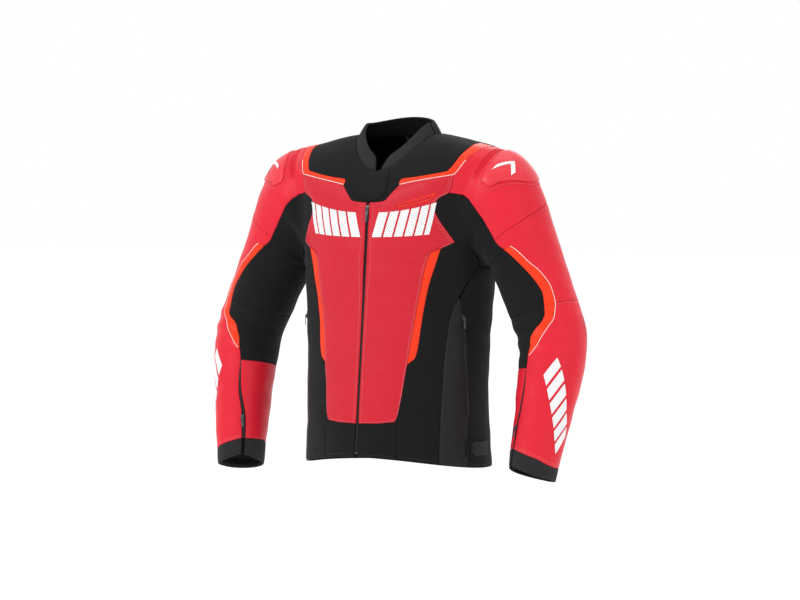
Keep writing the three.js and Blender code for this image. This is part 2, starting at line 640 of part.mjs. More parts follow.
function buildSleeves() {
  const leather = { thickness: LEATHER };
  const stretch = { thickness: STRETCH };
  const capEnd = planeEdge(BACK_PSI, FRONT_PSI, CAP_REACH);
  const armEnd = planeEdge(INNER_PSI, FRONT_PSI, CAP_REACH).reverse();
  const last = (edge) => edge[edge.length - 1];
  sleevePair('shoulder_cap', {
    low: [[-95, 0.02], [0, 0.02], [84, 0.02]],
    high: capEnd,
    left: [[-95, 0.02], [-105, 0.7], capEnd[0]],
    right: [[84, 0.02], [90, 0.7], last(capEnd)],
  }, 'red', leather);
  sleevePair('underarm', {
    low: [[100, 1.0], [130, 1.55], [155, 1.9], [180, 2.06], [205, 1.9], [225, 1.55]],
    high: armEnd,
    left: [[100, 1.0], armEnd[0]],
    right: [[225, 1.55], last(armEnd)],
  }, 'black', stretch);
  const outerTop = planeEdge(BACK_PSI, 80, CAP_REACH + SLEEVE_GAP);
  sleevePair('sleeve_outer', {
    low: outerTop,
    high: [[BACK_PSI, UPPER_END], [43, UPPER_END]],
    left: [outerTop[0], [BACK_PSI, UPPER_END]],
    right: [last(outerTop), ...flareOuter],
  }, 'red', leather);
  sleevePair('sleeve_accent', {
    low: [flareOuter[0], flareInner[0]],
    high: [last(flareOuter), last(flareInner)],
    left: flareOuter,
    right: flareInner,
  }, 'orange', leather);
  const innerTop = planeEdge(INNER_PSI, FRONT_PSI, CAP_REACH + SLEEVE_GAP).reverse();
  sleevePair('sleeve_inner', {
    low: innerTop,
    high: [[62, UPPER_END], [INNER_PSI, UPPER_END]],
    left: [innerTop[0], ...flareInner],
    right: [last(innerTop), [INNER_PSI, UPPER_END]],
  }, 'black', stretch);
  sleevePair('elbow_gusset', {
    low: [[46, 4.22], [INNER_PSI, 4.22]],
    high: [[114, 6.1], [INNER_PSI, 6.1]],
    left: [[46, 4.22], [55, 4.54], [71, 4.82], [86, 5.16], [98, 5.54], [109, 5.82], [114, 6.1]],
    right: [[INNER_PSI, 4.22], [INNER_PSI, 6.1]],
  }, 'black', stretch);
  sleevePair('forearm_outer', {
    low: [[BACK_PSI, 4.4], [43, 4.42]],
    high: cuffEdge,
    left: [[BACK_PSI, 4.4], [BACK_PSI, 8.05]],
    right: [...crookEdge, [110, 6.9], [116, 7.5], [120, 8.0]],
  }, 'red', leather);
  sleevePair('forearm_inner', {
    low: [[121, 6.2], [INNER_PSI, 6.2]],
    high: [[132, 8.0], [180, 7.95], [INNER_PSI, 8.05]],
    left: [[121, 6.2], [121, 6.9], [128, 7.5], [132, 8.0]],
    right: [[INNER_PSI, 6.2], [INNER_PSI, 8.05]],
  }, 'red', leather);
  sleevePair('cuff', {
    low: [[-227, 8.1], [-180, 8.05], ...cuffEdge.map(([psi, s]) => [psi, s + 0.06])],
    high: [[-227, 8.8], [BACK_PSI, 8.9], [-60, 9], [0, 9], [60, 9], [120, 8.8]],
    left: [[-227, 8.1], [-227, 8.8]],
    right: [[120, 8.06], [120, 8.8]],
  }, 'neoprene', { thickness: 2.6 });
}

function buildArmour() {
  sleevePair('shoulder_slider', {
    low: [[2, 0.08], [61, 0.08]],
    high: [[-20, 0.95], [14, 0.92], [59, 0.5]],
    left: [[2, 0.08], [-20, 0.95]],
    right: [[61, 0.08], [59, 0.5]],
  }, 'rubber', { depth: -9, thickness: 8, cell: SMALL_CELL });
  sleevePair('elbow_armour', {
    low: [[-105, 4.75], [-10, 4.75]],
    high: [[-95, 6.5], [-20, 6.5]],
    left: [[-105, 4.75], [-112, 5.6], [-95, 6.5]],
    right: [[-10, 4.75], [-3, 5.6], [-20, 6.5]],
  }, 'foam', { depth: 11, thickness: 8, cell: 34 });
}

buildFront();
buildBack();
buildInside();
buildCollar();
buildFrontZip();
buildSmallZips();
buildWaistTabs();
buildSleeves();
buildArmour();

export default jacket;
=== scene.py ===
"""Looks of a leather riding jacket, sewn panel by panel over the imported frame.

Lengths inside this script are millimetres and become metres when a mesh is made.
The wearer's left is +X, the front of the jacket is -Y, +Z is up.
"""
import math
import bmesh
import bpy
import numpy as np
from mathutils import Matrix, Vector
from mathutils.bvhtree import BVHTree


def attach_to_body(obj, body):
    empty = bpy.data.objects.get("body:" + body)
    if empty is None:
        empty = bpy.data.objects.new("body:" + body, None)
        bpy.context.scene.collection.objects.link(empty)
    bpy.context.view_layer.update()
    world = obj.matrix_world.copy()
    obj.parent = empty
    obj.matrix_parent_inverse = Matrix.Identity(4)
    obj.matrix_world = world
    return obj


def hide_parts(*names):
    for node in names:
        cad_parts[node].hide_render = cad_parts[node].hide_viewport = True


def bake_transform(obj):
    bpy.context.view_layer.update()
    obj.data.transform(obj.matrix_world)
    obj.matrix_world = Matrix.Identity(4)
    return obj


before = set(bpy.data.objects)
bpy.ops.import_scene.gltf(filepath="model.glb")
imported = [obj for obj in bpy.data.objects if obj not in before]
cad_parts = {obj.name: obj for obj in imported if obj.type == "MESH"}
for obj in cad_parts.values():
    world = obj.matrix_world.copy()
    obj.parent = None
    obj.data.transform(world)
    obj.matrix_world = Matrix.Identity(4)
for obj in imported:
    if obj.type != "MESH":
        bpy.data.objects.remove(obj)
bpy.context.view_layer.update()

METRES = 0.001
LEFT = 1
RIGHT = -1
SIDES = ((LEFT, "l"), (RIGHT, "r"))

# ---- sizes -------------------------------------------------------------------
CELL = 5.5                  # side of a panel's grid cell
FINE = 3.0                  # the same on small pieces
RIM_STEPS = (0.0, 0.6, 1.4, 2.8, 4.6, 6.8)   # grid lines close to a panel's rim
STITCH_LINE = 3             # the rim step that carries the first row of stitches
SECOND_LINE = 5             # the rim step that carries the second row
BASE_LINE = 2               # the same on the base under the shoulder shell
ALL_EDGES = ("left", "right", "high", "low")
ROLL = 1.5                  # radius of a panel's turned edge
LEATHER = 1.9               # thickness of leather with its backing
STRETCH = 1.5               # thickness of stretch fabric
HEM = -604                  # level of the hem
NECK = -40                  # level of the collar seam
COLLAR_HEIGHT = 46          # height of the collar band
FILLET = 18                 # how softly the sleeve runs into the body
ZIP_GAP = 3.6               # half the gap between the front panels, over the teeth
ZIP_TOP = -110
ZIP_BOTTOM = -596
ZIP_TOP_Y = -127
ZIP_LEAN = 0.098

# Millimetres per step of a surface's own two coordinates, for the weave and the holes.
SLEEVE_WEAVE = np.array([1.15, 66.0])
COLLAR_WEAVE = np.array([1.5, 46.0])
LINING_WEAVE = np.array([3.3, 1.0])

# The part of the jacket in which body and sleeve run together.
JOINED_X = (105, 330)
JOINED_Z = -285

# Level lines of the body: level at the centre front, rise at the side, half width,
# front depth, back depth, squareness of the front half and of the back half.
BODY_ROWS = np.array([
    (-604, -24, 195, 175, 132, 1.90, 2.0),
    (-500, -14, 193, 165, 119, 1.90, 2.0),
    (-400, -4, 193, 155, 106, 1.95, 2.1),
    (-300, 0, 197, 145, 116, 2.05, 2.2),
    (-240, 4, 201, 140, 123, 2.15, 2.3),
    (-180, 14, 207, 134, 129, 2.25, 2.3),
    (-130, 48, 214, 129, 128, 2.3, 2.3),
    (-92, 88, 216, 124, 120, 2.3, 2.3),
    (-66, 82, 160, 110, 104, 2.3, 2.3),
    (-48, 76, 108, 97, 86, 2.2, 2.2),
    (-38, 70, 80, 88, 72, 2.0, 2.0),
])

# Rings of the sleeve: ring, centre x y z, slope down, lean forward, half widths.
# The rings below zero taper off inside the body.
SLEEVE_ROWS = np.array([
    (-2, 90, 0, -78, 16, 0, 52, 34),
    (-1, 150, 0, -94, 18, 0, 88, 60),
    (0, 203, 0, -112, 20, 0, 114, 84),
    (1, 240, 2, -131, 45, 0, 93, 82),
    (2, 271, 1, -186, 62, 0, 77, 76),
    (3, 299, -1, -242, 69, 0, 71, 72),
    (4, 327, -4, -305, 71, 1, 68, 69),
    (5, 350, -8, -368, 80, 5, 66, 67),
    (6, 353, -18, -425, 91, 10, 63, 64),
    (7, 347, -37, -505, 94, 13, 57, 57),
    (8, 340, -55, -580, 95, 13, 51, 52),
    (9, 335, -68, -640, 95, 13, 47, 49),
])

# ---- surfaces ------------------------------------------------------------------


def smooth(rows, x):
    """Rows of values, by a smooth curve through the knots in the first column."""
    knots = rows[:, 0]
    values = rows[:, 1:]
    x = np.clip(np.asarray(x, float), knots[0], knots[-1])
    i = np.clip(np.searchsorted(knots, x, side="right") - 1, 0, len(knots) - 2)
    rise = np.diff(values, axis=0) / np.diff(knots)[:, None]
    slope = np.vstack([rise[:1], (rise[:-1] + rise[1:]) / 2, rise[-1:]])
    width = (knots[i + 1] - knots[i])[..., None]
    u = (x - knots[i])[..., None] / width
    p = values[i]
    q = values[i + 1]
    m = slope[i] * width
    n = slope[i + 1] * width
    bend = (m + 2 * (p - q) + n) * u + 3 * (q - p) - 2 * m - n
    return p + u * m + u * u * bend


def body(t, h):
    """Points of the body: t is the angle round it from the centre front, h the level."""
    lift, a, front, back, nf, nb = np.moveaxis(smooth(BODY_ROWS, h), -1, 0)
    s = np.sin(np.radians(t))
    c = np.cos(np.radians(t))
    ahead = c > 0
    power = 2 / np.where(ahead, nf, nb)
    x = a * np.sign(s) * np.abs(s) ** power
    y = np.where(ahead, -front, back) * np.abs(c) ** power
    z = h + lift * np.where(ahead, s * s, 1)
    return np.stack([x, y, z], -1)


def sleeve(psi, s):
    """Points of the left sleeve: psi is 0 outside, 90 in front and 180 at the body."""
    x, y, z, down, fore, ra, rb = np.moveaxis(smooth(SLEEVE_ROWS, s), -1, 0)
    down = np.radians(down)
    fore = np.radians(fore)
    along = np.stack(
        [np.cos(down) * np.cos(fore), -np.sin(fore), -np.sin(down) * np.cos(fore)], -1)
    front = np.array([0.0, -1.0, 0.0]) + along * along[..., 1:2]
    front = front / np.linalg.norm(front, axis=-1, keepdims=True)
    outward = np.cross(front, along)
    centre = np.stack([x, y, z], -1)
    across = (ra * np.cos(np.radians(psi)))[..., None] * outward
    return centre + across + (rb * np.sin(np.radians(psi)))[..., None] * front


def collar(t, h):
    """Points of the collar band: t round the neck, h from 0 at its seam to 1 at its top."""
    base = body(t, np.full(np.shape(t), float(NECK)))
    s = np.sin(np.radians(t))
    c = np.cos(np.radians(t))
    rise = COLLAR_HEIGHT * np.where(c > 0, 0.62 - 0.10 * s * s, 0.52 + 0.26 * c * c) * h
    return np.stack([
        base[..., 0] * (1 - 0.16 * h), base[..., 1] * (1 - 0.22 * h), base[..., 2] + rise], -1)


def tree_of(surface, us, vs):
    """A search tree of a surface, for signed distances to it."""
    u, v = np.meshgrid(us, vs)
    points = surface(u, v)
    rows, cols = u.shape
    index = np.arange(rows * cols).reshape(rows, cols)
    quads = np.stack([index[:-1, :-1], index[:-1, 1:], index[1:, 1:], index[1:, :-1]], -1)
    return BVHTree.FromPolygons(
        points.reshape(-1, 3).tolist(), quads.reshape(-1, 4).tolist())


BODY_TREE = tree_of(body, np.linspace(0, 360, 181), np.linspace(-604, -38, 120))
SLEEVE_TREE = tree_of(sleeve, np.linspace(0, 360, 91), np.linspace(-2, 5, 110))


def signed(tree, point):
    """Distance from a surface, minus inside, and the direction in which it grows."""
    place, normal, _, distance = tree.find_nearest(point)
    away = point - place
    if away.dot(normal) < 0:
        if distance > 0.5:
            return -distance, -away / distance
        return -distance, normal
    if distance > 0.5:
        return distance, away / distance
    return distance, normal


def settle(points, rounds=4):
    """Moves points near the left armhole onto the body and sleeve run softly together."""
    flat = points.reshape(-1, 3).copy()
    near = (flat[:, 0] > JOINED_X[0]) & (flat[:, 0] < JOINED_X[1]) & (flat[:, 2] > JOINED_Z)
    for k in np.nonzero(near)[0]:
        p = Vector(flat[k])
        for _ in range(rounds):
            d1, n1 = signed(BODY_TREE, p)
            d2, n2 = signed(SLEEVE_TREE, p)
            h = min(max(0.5 + 0.5 * (d2 - d1) / FILLET, 0), 1)
            d = d2 + (d1 - d2) * h - FILLET * h * (1 - h)
            n = n2.lerp(n1, h)
            p = p - n * (d / max(n.length, 0.3))
            if abs(d) < 0.05:
                break
        flat[k] = p
    return flat.reshape(points.shape)


# Soft folds: the same function of place on every panel, so that seams stay closed.
RNG = np.random.default_rng(7)
WAVES = [
    (direction / np.linalg.norm(direction) * 2 * math.pi / wave, RNG.uniform(0, 6.28), depth)
    for direction, wave, depth in (
        (RNG.normal(size=3), wave, depth)
        for wave, depth in ((240, 0.9), (190, 0.8), (150, 0.7), (120, 0.5), (95, 0.4),
                            (78, 0.35), (60, 0.25), (47, 0.2), (38, 0.15)))
]
ELBOW = np.array([348.5, -7.4, -361.9])
ELBOW_RUN = np.array([0.19, -0.08, -0.98])
ARMPIT_AT = np.array([205.0, 0.0, -228.0])


def folds(p):
    """How far the worn leather and fabric stand out at a place, in millimetres."""
    out = np.zeros(p.shape[:-1])
    for wave, phase, depth in WAVES:
        out += depth * np.sin(p @ wave + phase)
    q = np.concatenate([np.abs(p[..., :1]), p[..., 1:]], -1)
    wobble = 0.6 * np.sin(p[..., 0] / 13) + 0.5 * np.sin(p[..., 1] / 17 + 1)
    run = (q - ELBOW) @ ELBOW_RUN
    inner = np.clip(0.35 - (q[..., 1] + 10) / 70, 0, 1) * (q[..., 0] > 230)
    crook = np.exp(-(run / 42) ** 2) * inner
    out += 1.9 * crook * np.sin(run / 5.2 + wobble)
    reach = q - ARMPIT_AT
    r = np.linalg.norm(reach, axis=-1)
    angle = np.arctan2(reach[..., 2], reach[..., 0])
    out += 1.3 * np.exp(-((r - 60) / 34) ** 2) * np.sin(5 * angle + 0.6 * wobble)
    waist = np.exp(-((q[..., 2] + 350) / 80) ** 2) * (q[..., 0] < 232)
    side = np.clip(np.abs(q[..., 0]) / 190, 0, 1) ** 3
    out += 1.1 * waist * side * np.sin(q[..., 2] / 9 + 2 * wobble + q[..., 1] / 60)
    flat_zip = np.exp(-(q[..., 0] / 26) ** 2) * (p[..., 1] < 0)
    return out * (1 - 0.9 * flat_zip)


# ---- curves and grids --------------------------------------------------------------


def spline(points, per=10):
    """A smooth curve through points, as a dense row of them."""
    p = np.asarray(points, float)
    if len(p) == 2:
        return p[0] + np.linspace(0, 1, per + 1)[:, None] * (p[1] - p[0])
    q = np.vstack([2 * p[0] - p[1], p, 2 * p[-1] - p[-2]])
    u = np.linspace(0, 1, per, endpoint=False)[:, None]
    parts = []
    for i in range(1, len(q) - 2):
        a, b, c, d = q[i - 1:i + 3]
        parts.append(b + 0.5 * u * (c - a + u * (
            2 * a - 5 * b + 4 * c - d + u * (3 * (b - c) + d - a))))
    return np.vstack(parts + [p[-1:]])


def edge(*runs):
    """A side of a panel made of smooth runs that meet in corners."""
    parts = [spline(run) for run in runs]
    return np.vstack([parts[0]] + [part[1:] for part in parts[1:]])


def lengths(points):
    """How far along a row of points each one is."""
    steps = np.linalg.norm(np.diff(points, axis=0), axis=1)
    return np.concatenate([[0.0], np.cumsum(steps)])


def resample(row, run, share):
    """Values of a row of points at shares of the length in run."""
    at = np.asarray(share) * run[-1]
    return np.stack([np.interp(at, run, row[:, k]) for k in range(row.shape[1])], -1)


def even(row, step=CELL, rounds=9):
    """A row of points taken again at equal steps, with its corners rounded off."""
    run = lengths(row)
    row = resample(row, run, np.linspace(0, 1, math.ceil(run[-1] / step)))
    for _ in range(rounds):
        row[1:-1] = (row[:-2] + 2 * row[1:-1] + row[2:]) / 4
    return row


def stations(length, cell):
    """Shares of a side at which grid lines cross it, closer together near its ends."""
    near = [step for step in RIM_STEPS if step < 0.3 * length]
    count = max(2, math.ceil((length - 2 * near[-1]) / cell))
    middle = np.linspace(near[-1], length - near[-1], count + 1)
    far = [length - step for step in reversed(near[:-1])]
    return np.concatenate([near[:-1], middle, far]) / length


def coons(low, high, left, right, us, vs):
    """A grid whose four sides are given rows of points."""
    u = us[None, :, None]
    v = vs[:, None, None]
    flat = (1 - v) * low[None] + v * high[None]
    tall = (1 - u) * left[:, None] + u * right[:, None]
    ends = ((1 - u) * (1 - v) * low[0] + u * (1 - v) * low[-1]
            + (1 - u) * v * high[0] + u * v * high[-1])
    return flat + tall - ends


def patch(surface, low, high, left, right, cell=CELL):
    """A panel's grid on a surface, from its sides in the surface's own coordinates."""
    sides = [edge(side) if isinstance(side, list) else side for side in (low, high, left, right)]
    runs = [lengths(surface(side[:, 0], side[:, 1])) for side in sides]
    us = stations((runs[0][-1] + runs[1][-1]) / 2, cell)
    vs = stations((runs[2][-1] + runs[3][-1]) / 2, cell)
    rows = [resample(side, run, share)
            for side, run, share in zip(sides, runs, (us, us, vs, vs))]
    where = coons(*rows, us, vs)
    return surface(where[..., 0], where[..., 1]), where


def loft(low, high, left, right, cell=CELL):
    """A panel's grid between four curves in space, laid on the body and sleeve."""
    sides = [settle(side) for side in (low, high, left, right)]
    runs = [lengths(side) for side in sides]
    us = stations((runs[0][-1] + runs[1][-1]) / 2, cell)
    vs = stations((runs[2][-1] + runs[3][-1]) / 2, cell)
    rows = [resample(side, run, share)
            for side, run, share in zip(sides, runs, (us, us, vs, vs))]
    grid = settle(coons(*rows, us, vs), 6)
    across = np.cumsum(np.linalg.norm(np.diff(grid, axis=1, prepend=grid[:, :1]), axis=2), 1)
    tall = np.cumsum(np.linalg.norm(np.diff(grid, axis=0, prepend=grid[:1]), axis=2), 0)
    return relax(grid), np.stack([across, tall], -1)


def relax(grid, rounds=6):
    """Evens a lofted grid out and lays it back on the body and sleeve."""
    for _ in range(rounds):
        inner = (grid[:-2, 1:-1] + grid[2:, 1:-1] + grid[1:-1, :-2] + grid[1:-1, 2:]) / 4
        grid[1:-1, 1:-1] += 0.7 * (inner - grid[1:-1, 1:-1])
    return settle(grid)


def grid_normals(grid):
    """Directions straight out of a grid."""
    du = np.gradient(grid, axis=1)
    dv = np.gradient(grid, axis=0)
    n = np.cross(du, dv)
    size = np.linalg.norm(n, axis=-1, keepdims=True)
    return n / np.maximum(size, 1e-9)


def rim_of(grid):
    """The points round the rim of a grid."""
    return np.vstack([grid[0], grid[-1], grid[:, 0], grid[:, -1]])


def rim_distance(grid):
    """How far each point of a grid is from its rim."""
    rim = rim_of(grid)
    flat = grid.reshape(-1, 3)
    out = np.empty(len(flat))
    for k in range(0, len(flat), 2000):
        gap = flat[k:k + 2000, None] - rim[None]
        out[k:k + 2000] = np.sqrt((gap * gap).sum(-1)).min(1)
    return out.reshape(grid.shape[:2])


# ---- materials -----------------------------------------------------------------------


class Shader:
    """A short way to build a material's nodes."""

    def __init__(self, name):
        self.material = bpy.data.materials.new(name)
        self.material.use_nodes = True
        self.nodes = self.material.node_tree.nodes
        self.links = self.material.node_tree.links
        self.surface = self.nodes["Principled BSDF"]

    def put(self, socket, value):
        if isinstance(value, bpy.types.NodeSocket):
            self.links.new(value, socket)
        else:
            socket.default_value = value

    def node(self, kind, inputs=(), **settings):
        node = self.nodes.new(kind)
        for key, value in settings.items():
            setattr(node, key, value)
        for key, value in dict(inputs).items():
            self.put(node.inputs[key], value)
        return node

    def math(self, operation, *values):
        return self.node("ShaderNodeMath", dict(enumerate(values)), operation=operation).outputs[0]

    def place(self):
        return self.node("ShaderNodeTexCoord").outputs["Object"]

    def cloth_place(self):
        return self.node("ShaderNodeTexCoord").outputs["UV"]

    def noise(self, scale, detail=3.0, vector=None):
        inputs = {"Scale": scale, "Detail": detail, "Vector": vector or self.place()}
        return self.node("ShaderNodeTexNoise", inputs).outputs["Fac"]

    def bump(self, height, distance, strength=1.0, before=None):
        inputs = {"Height": height, "Distance": distance, "Strength": strength}
        node = self.node("ShaderNodeBump", inputs)
        if before is not None:
            self.links.new(before, node.inputs["Normal"])
        return node.outputs["Normal"]

    def mix(self, share, one, two):
        node = self.node("ShaderNodeMix", data_type="RGBA")
        self.put(node.inputs["Factor"], share)
        self.put(node.inputs[6], one)
        self.put(node.inputs[7], two)
        return node.outputs[2]

    def finish(self, **values):
        for key, value in values.items():
            self.put(self.surface.inputs[key.replace("_", " ")], value)
        return self.material


def tint(colour, by):
    """A colour made lighter or darker, with full opacity."""
    return tuple(min(1.0, c * by) for c in colour) + (1.0,)


def holes(shader, pitch, radius):
    """Rows of round holes, as 1 inside a hole, measured on the panel in metres."""
    split = shader.node("ShaderNodeSeparateXYZ", {0: shader.cloth_place()})
    across = shader.math("DIVIDE", split.outputs["X"], pitch)
    tall = shader.math("DIVIDE", split.outputs["Y"], pitch * 0.866)
    row = shader.math("FLOOR", tall)
    shift = shader.math("MULTIPLY", shader.math("MODULO", row, 2.0), 0.5)
    u = shader.math("FRACT", shader.math("ADD", across, shift))
    v = shader.math("FRACT", tall)
    du = shader.math("SUBTRACT", u, 0.5)
    dv = shader.math("MULTIPLY", shader.math("SUBTRACT", v, 0.5), 0.866)
    square = shader.math("ADD", shader.math("MULTIPLY", du, du), shader.math("MULTIPLY", dv, dv))
    reach = shader.math("DIVIDE", shader.math("SQRT", square), radius / pitch)
    mask = shader.node("ShaderNodeMapRange", {0: reach, 1: 0.7, 2: 1.15, 3: 1.0, 4: 0.0})
    return mask.outputs[0]


def leather(name, colour, rough=0.38, pitch=None, hole=0.75, grain=0.00012):
    """Dyed leather: pebbled grain, faint cloudiness, and holes where pitch is given; each hole is
    the leather's colour darkened, as painted shade inside the hole together with the dark backing
    seen through it.
    """
    shader = Shader(name)
    cells = shader.node(
        "ShaderNodeTexVoronoi", {"Scale": 620.0, "Vector": shader.place()}).outputs["Distance"]
    normal = shader.bump(cells, grain, 0.6)
    normal = shader.bump(shader.noise(260.0), grain * 1.5, 0.5, normal)
    normal = shader.bump(shader.noise(70.0), 0.0012, 0.45, normal)
    normal = shader.bump(shader.noise(20.0, 1.5), 0.006, 0.45, normal)
    base = shader.mix(shader.noise(9.0), tint(colour, 0.88), tint(colour, 1.05))
    rough_mix = shader.node(
        "ShaderNodeMapRange", {0: shader.noise(30.0), 3: rough - 0.05, 4: rough + 0.07})
    if pitch:
        mask = holes(shader, pitch * METRES, hole * METRES)
        # Painted shade: inside each hole the colour drops to 0.28 of the material's own, for the
        # shade in the hole and the dark backing seen through it.
        base = shader.mix(mask, base, tint(colour, 0.28))
        normal = shader.bump(shader.math("SUBTRACT", 1.0, mask), 0.0006, 0.8, normal)
    return shader.finish(
        Base_Color=base, Roughness=rough_mix.outputs[0], Normal=normal,
        Specular_IOR_Level=0.19, Sheen_Weight=0.0)


def fabric(name, colour, rough=0.85, pitch=1.3, depth=0.00025, sheen=0.04):
    """Stretch fabric: fine ribs both ways and a soft sheen."""
    shader = Shader(name)
    split = shader.node("ShaderNodeSeparateXYZ", {0: shader.cloth_place()})
    turn = 2 * math.pi / (pitch * METRES)
    ribs = shader.math("SINE", shader.math("MULTIPLY", split.outputs["X"], turn))
    rows = shader.math("SINE", shader.math("MULTIPLY", split.outputs["Y"], turn * 1.6))
    weave = shader.math("ADD", ribs, shader.math("MULTIPLY", rows, 0.6))
    normal = shader.bump(weave, depth, 0.35)
    normal = shader.bump(shader.noise(35.0), 0.0006, 0.3, normal)
    base = shader.mix(shader.noise(14.0), tint(colour, 0.85), tint(colour, 1.15))
    return shader.finish(
        Base_Color=base, Roughness=rough, Normal=normal, Sheen_Weight=sheen,
        Sheen_Roughness=0.5, Specular_IOR_Level=0.12)


def plain(name, colour, rough, metal=0.0, scale=180.0, depth=0.00006, spread=0.06):
    """A moulded or metal finish with a little unevenness."""
    shader = Shader(name)
    cloud = shader.noise(scale)
    base = shader.mix(cloud, tint(colour, 1 - spread), tint(colour, 1 + spread))
    return shader.finish(
        Base_Color=base, Roughness=rough, Metallic=metal,
        Normal=shader.bump(cloud, depth, 0.6))


RED = (0.60, 0.014, 0.031)
ARM_RED = (0.66, 0.013, 0.030)
ORANGE = (0.78, 0.036, 0.006)
BLACK = (0.0070, 0.0070, 0.0076)
LEATHER_BLACK = (0.0100, 0.0102, 0.0110)
WHITE = (0.78, 0.78, 0.78)

RED_PERFORATED = leather("red_leather_perforated", RED, pitch=4.2, hole=0.78)
RED_SMOOTH = leather("red_leather_smooth", ARM_RED)
RED_DARKER = leather("red_leather_zip_edge", (0.54, 0.016, 0.030))
ORANGE_LEATHER = leather("orange_leather", ORANGE)
BLACK_STRETCH = fabric("black_stretch", BLACK)
BLACK_RIB = fabric("black_ribbed_stretch", (0.0080, 0.0080, 0.0086), pitch=3.2, depth=0.0007)
BLACK_LEATHER = leather("black_leather", LEATHER_BLACK, rough=0.5)
NEOPRENE = fabric("grey_neoprene", (0.020, 0.020, 0.0215), pitch=0.9)
LINING = fabric("lining_mesh", (0.0050, 0.0050, 0.0056), pitch=2.2, depth=0.0005, sheen=0.0)
FOAM = leather("armour_foam", (0.030, 0.052, 0.068), rough=0.7, pitch=9.0, hole=2.1)
SLIDER = plain("slider_shell", ARM_RED, 0.34)
WHITE_PRINT = leather("white_print", WHITE, rough=0.5, pitch=4.2, hole=0.72)
WHITE_SMOOTH = leather("white_print_smooth", WHITE, rough=0.45)
PIPING = plain("white_piping", (0.80, 0.79, 0.78), 0.55)
THREAD_RED = plain("thread_red", (0.50, 0.030, 0.042), 0.6)
THREAD_PALE = plain("thread_pale", (0.66, 0.14, 0.15), 0.6)
THREAD_BLACK = plain("thread_black", (0.022, 0.022, 0.024), 0.6)
METAL = plain("zip_metal", (0.10, 0.10, 0.105), 0.36, metal=0.9)
TEETH = plain("zip_teeth", (0.030, 0.030, 0.032), 0.42, metal=0.2)
TAPE = fabric("zip_tape", (0.0105, 0.0105, 0.011), pitch=1.1)
HOOKS = fabric("hook_tape", (0.008, 0.008, 0.009), pitch=1.8, depth=0.0009)

# ---- meshes ---------------------------------------------------------------------------


def add(name, verts, faces, material, uv=None, sharp=48):
    """Makes an object from millimetre points and faces."""
    mesh = bpy.data.meshes.new(name)
    mesh.from_pydata((np.asarray(verts) * METRES).tolist(), [], [list(map(int, f)) for f in faces])
    mesh.polygons.foreach_set("use_smooth", [True] * len(mesh.polygons))
    mesh.set_sharp_from_angle(angle=math.radians(sharp))
    if uv is not None:
        layer = mesh.uv_layers.new(name="UVMap")
        loops = np.empty(len(mesh.loops), np.int32)
        mesh.loops.foreach_get("vertex_index", loops)
        layer.data.foreach_set("uv", (np.asarray(uv)[loops] * METRES).ravel())
    mesh.materials.append(material)
    thing = bpy.data.objects.new(name, mesh)
    bpy.context.collection.objects.link(thing)
    return thing


def flip(points, side):
    """The same points on the given side of the jacket."""
    return points * np.array([side, 1.0, 1.0])


def attach(thing, rides, replaces=()):
    """Says what a piece moves with and the CAD nodes it stands for."""
    if rides in ("shoulder", "elbow"):
        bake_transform(thing)
    else:
        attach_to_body(thing, rides)
    if replaces:
        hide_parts(*replaces)
    return thing


class Panel:
    """A sewn panel: where its outer face is, so that stitches can follow it."""

    def __init__(self, outer, normals):
        self.outer = outer
        self.normals = normals

    def line(self, side, step=STITCH_LINE):
        """A grid line beside one side: low, high, left or right."""
        cut = {"low": np.s_[step, :], "high": np.s_[-1 - step, :],
               "left": np.s_[:, step], "right": np.s_[:, -1 - step]}[side]
        trim = slice(step, -step) if step else slice(None)
        return self.outer[cut][trim], self.normals[cut][trim]


def shell(outer, inner, rows, cols):
    """Vertices and faces of a closed shell between two grids."""
    count = rows * cols
    index = np.arange(count).reshape(rows, cols)
    top = np.stack([index[:-1, :-1], index[:-1, 1:], index[1:, 1:], index[1:, :-1]], -1)
    top = top.reshape(-1, 4)
    rim = np.concatenate([index[0, :], index[1:, -1], index[-1, -2::-1], index[-2:0:-1, 0]])
    after = np.roll(rim, -1)
    wall = np.stack([after, rim, rim + count, after + count], -1)
    faces = np.vstack([top, top[:, ::-1] + count, wall])
    return np.vstack([outer.reshape(-1, 3), inner.reshape(-1, 3)]), faces


def panel(name, grid, where, material, side=LEFT, thickness=LEATHER, roll=ROLL, lift=0.0,
          puff=0.5, crown=0.0, sharp=48, bumpy=1.0):
    """A panel with turned edges and a soft belly. Returns its object and its outer face."""
    points = flip(grid, side)
    normals = grid_normals(points) * side
    gap = rim_distance(points)
    turned = np.clip(roll - gap, 0, roll)
    drop = roll - np.sqrt(np.maximum(roll * roll - turned * turned, 0))
    stand = lift + puff * (1 - np.exp(-gap / 9)) - drop + bumpy * folds(points)
    if crown:
        stand = stand + crown * (1 - np.exp(-gap / 22))
    outer = points + normals * stand[..., None]
    floor = lift - thickness + bumpy * folds(points) - 0.4
    inner = points + normals * floor[..., None]
    rows, cols = gap.shape
    verts, faces = shell(outer, inner, rows, cols)
    if side == RIGHT:
        faces = faces[:, ::-1]
    uv = np.tile(where.reshape(-1, 2), (2, 1))
    thing = add(name, verts, faces, material, uv, sharp)
    return thing, Panel(outer, normals)


def merged(parts):
    """One list of vertices and faces from several."""
    verts = []
    faces = []
    base = 0
    for some, these in parts:
        verts.append(some)
        faces.extend([[v + base for v in face] for face in these])
        base += len(some)
    return np.vstack(verts), faces


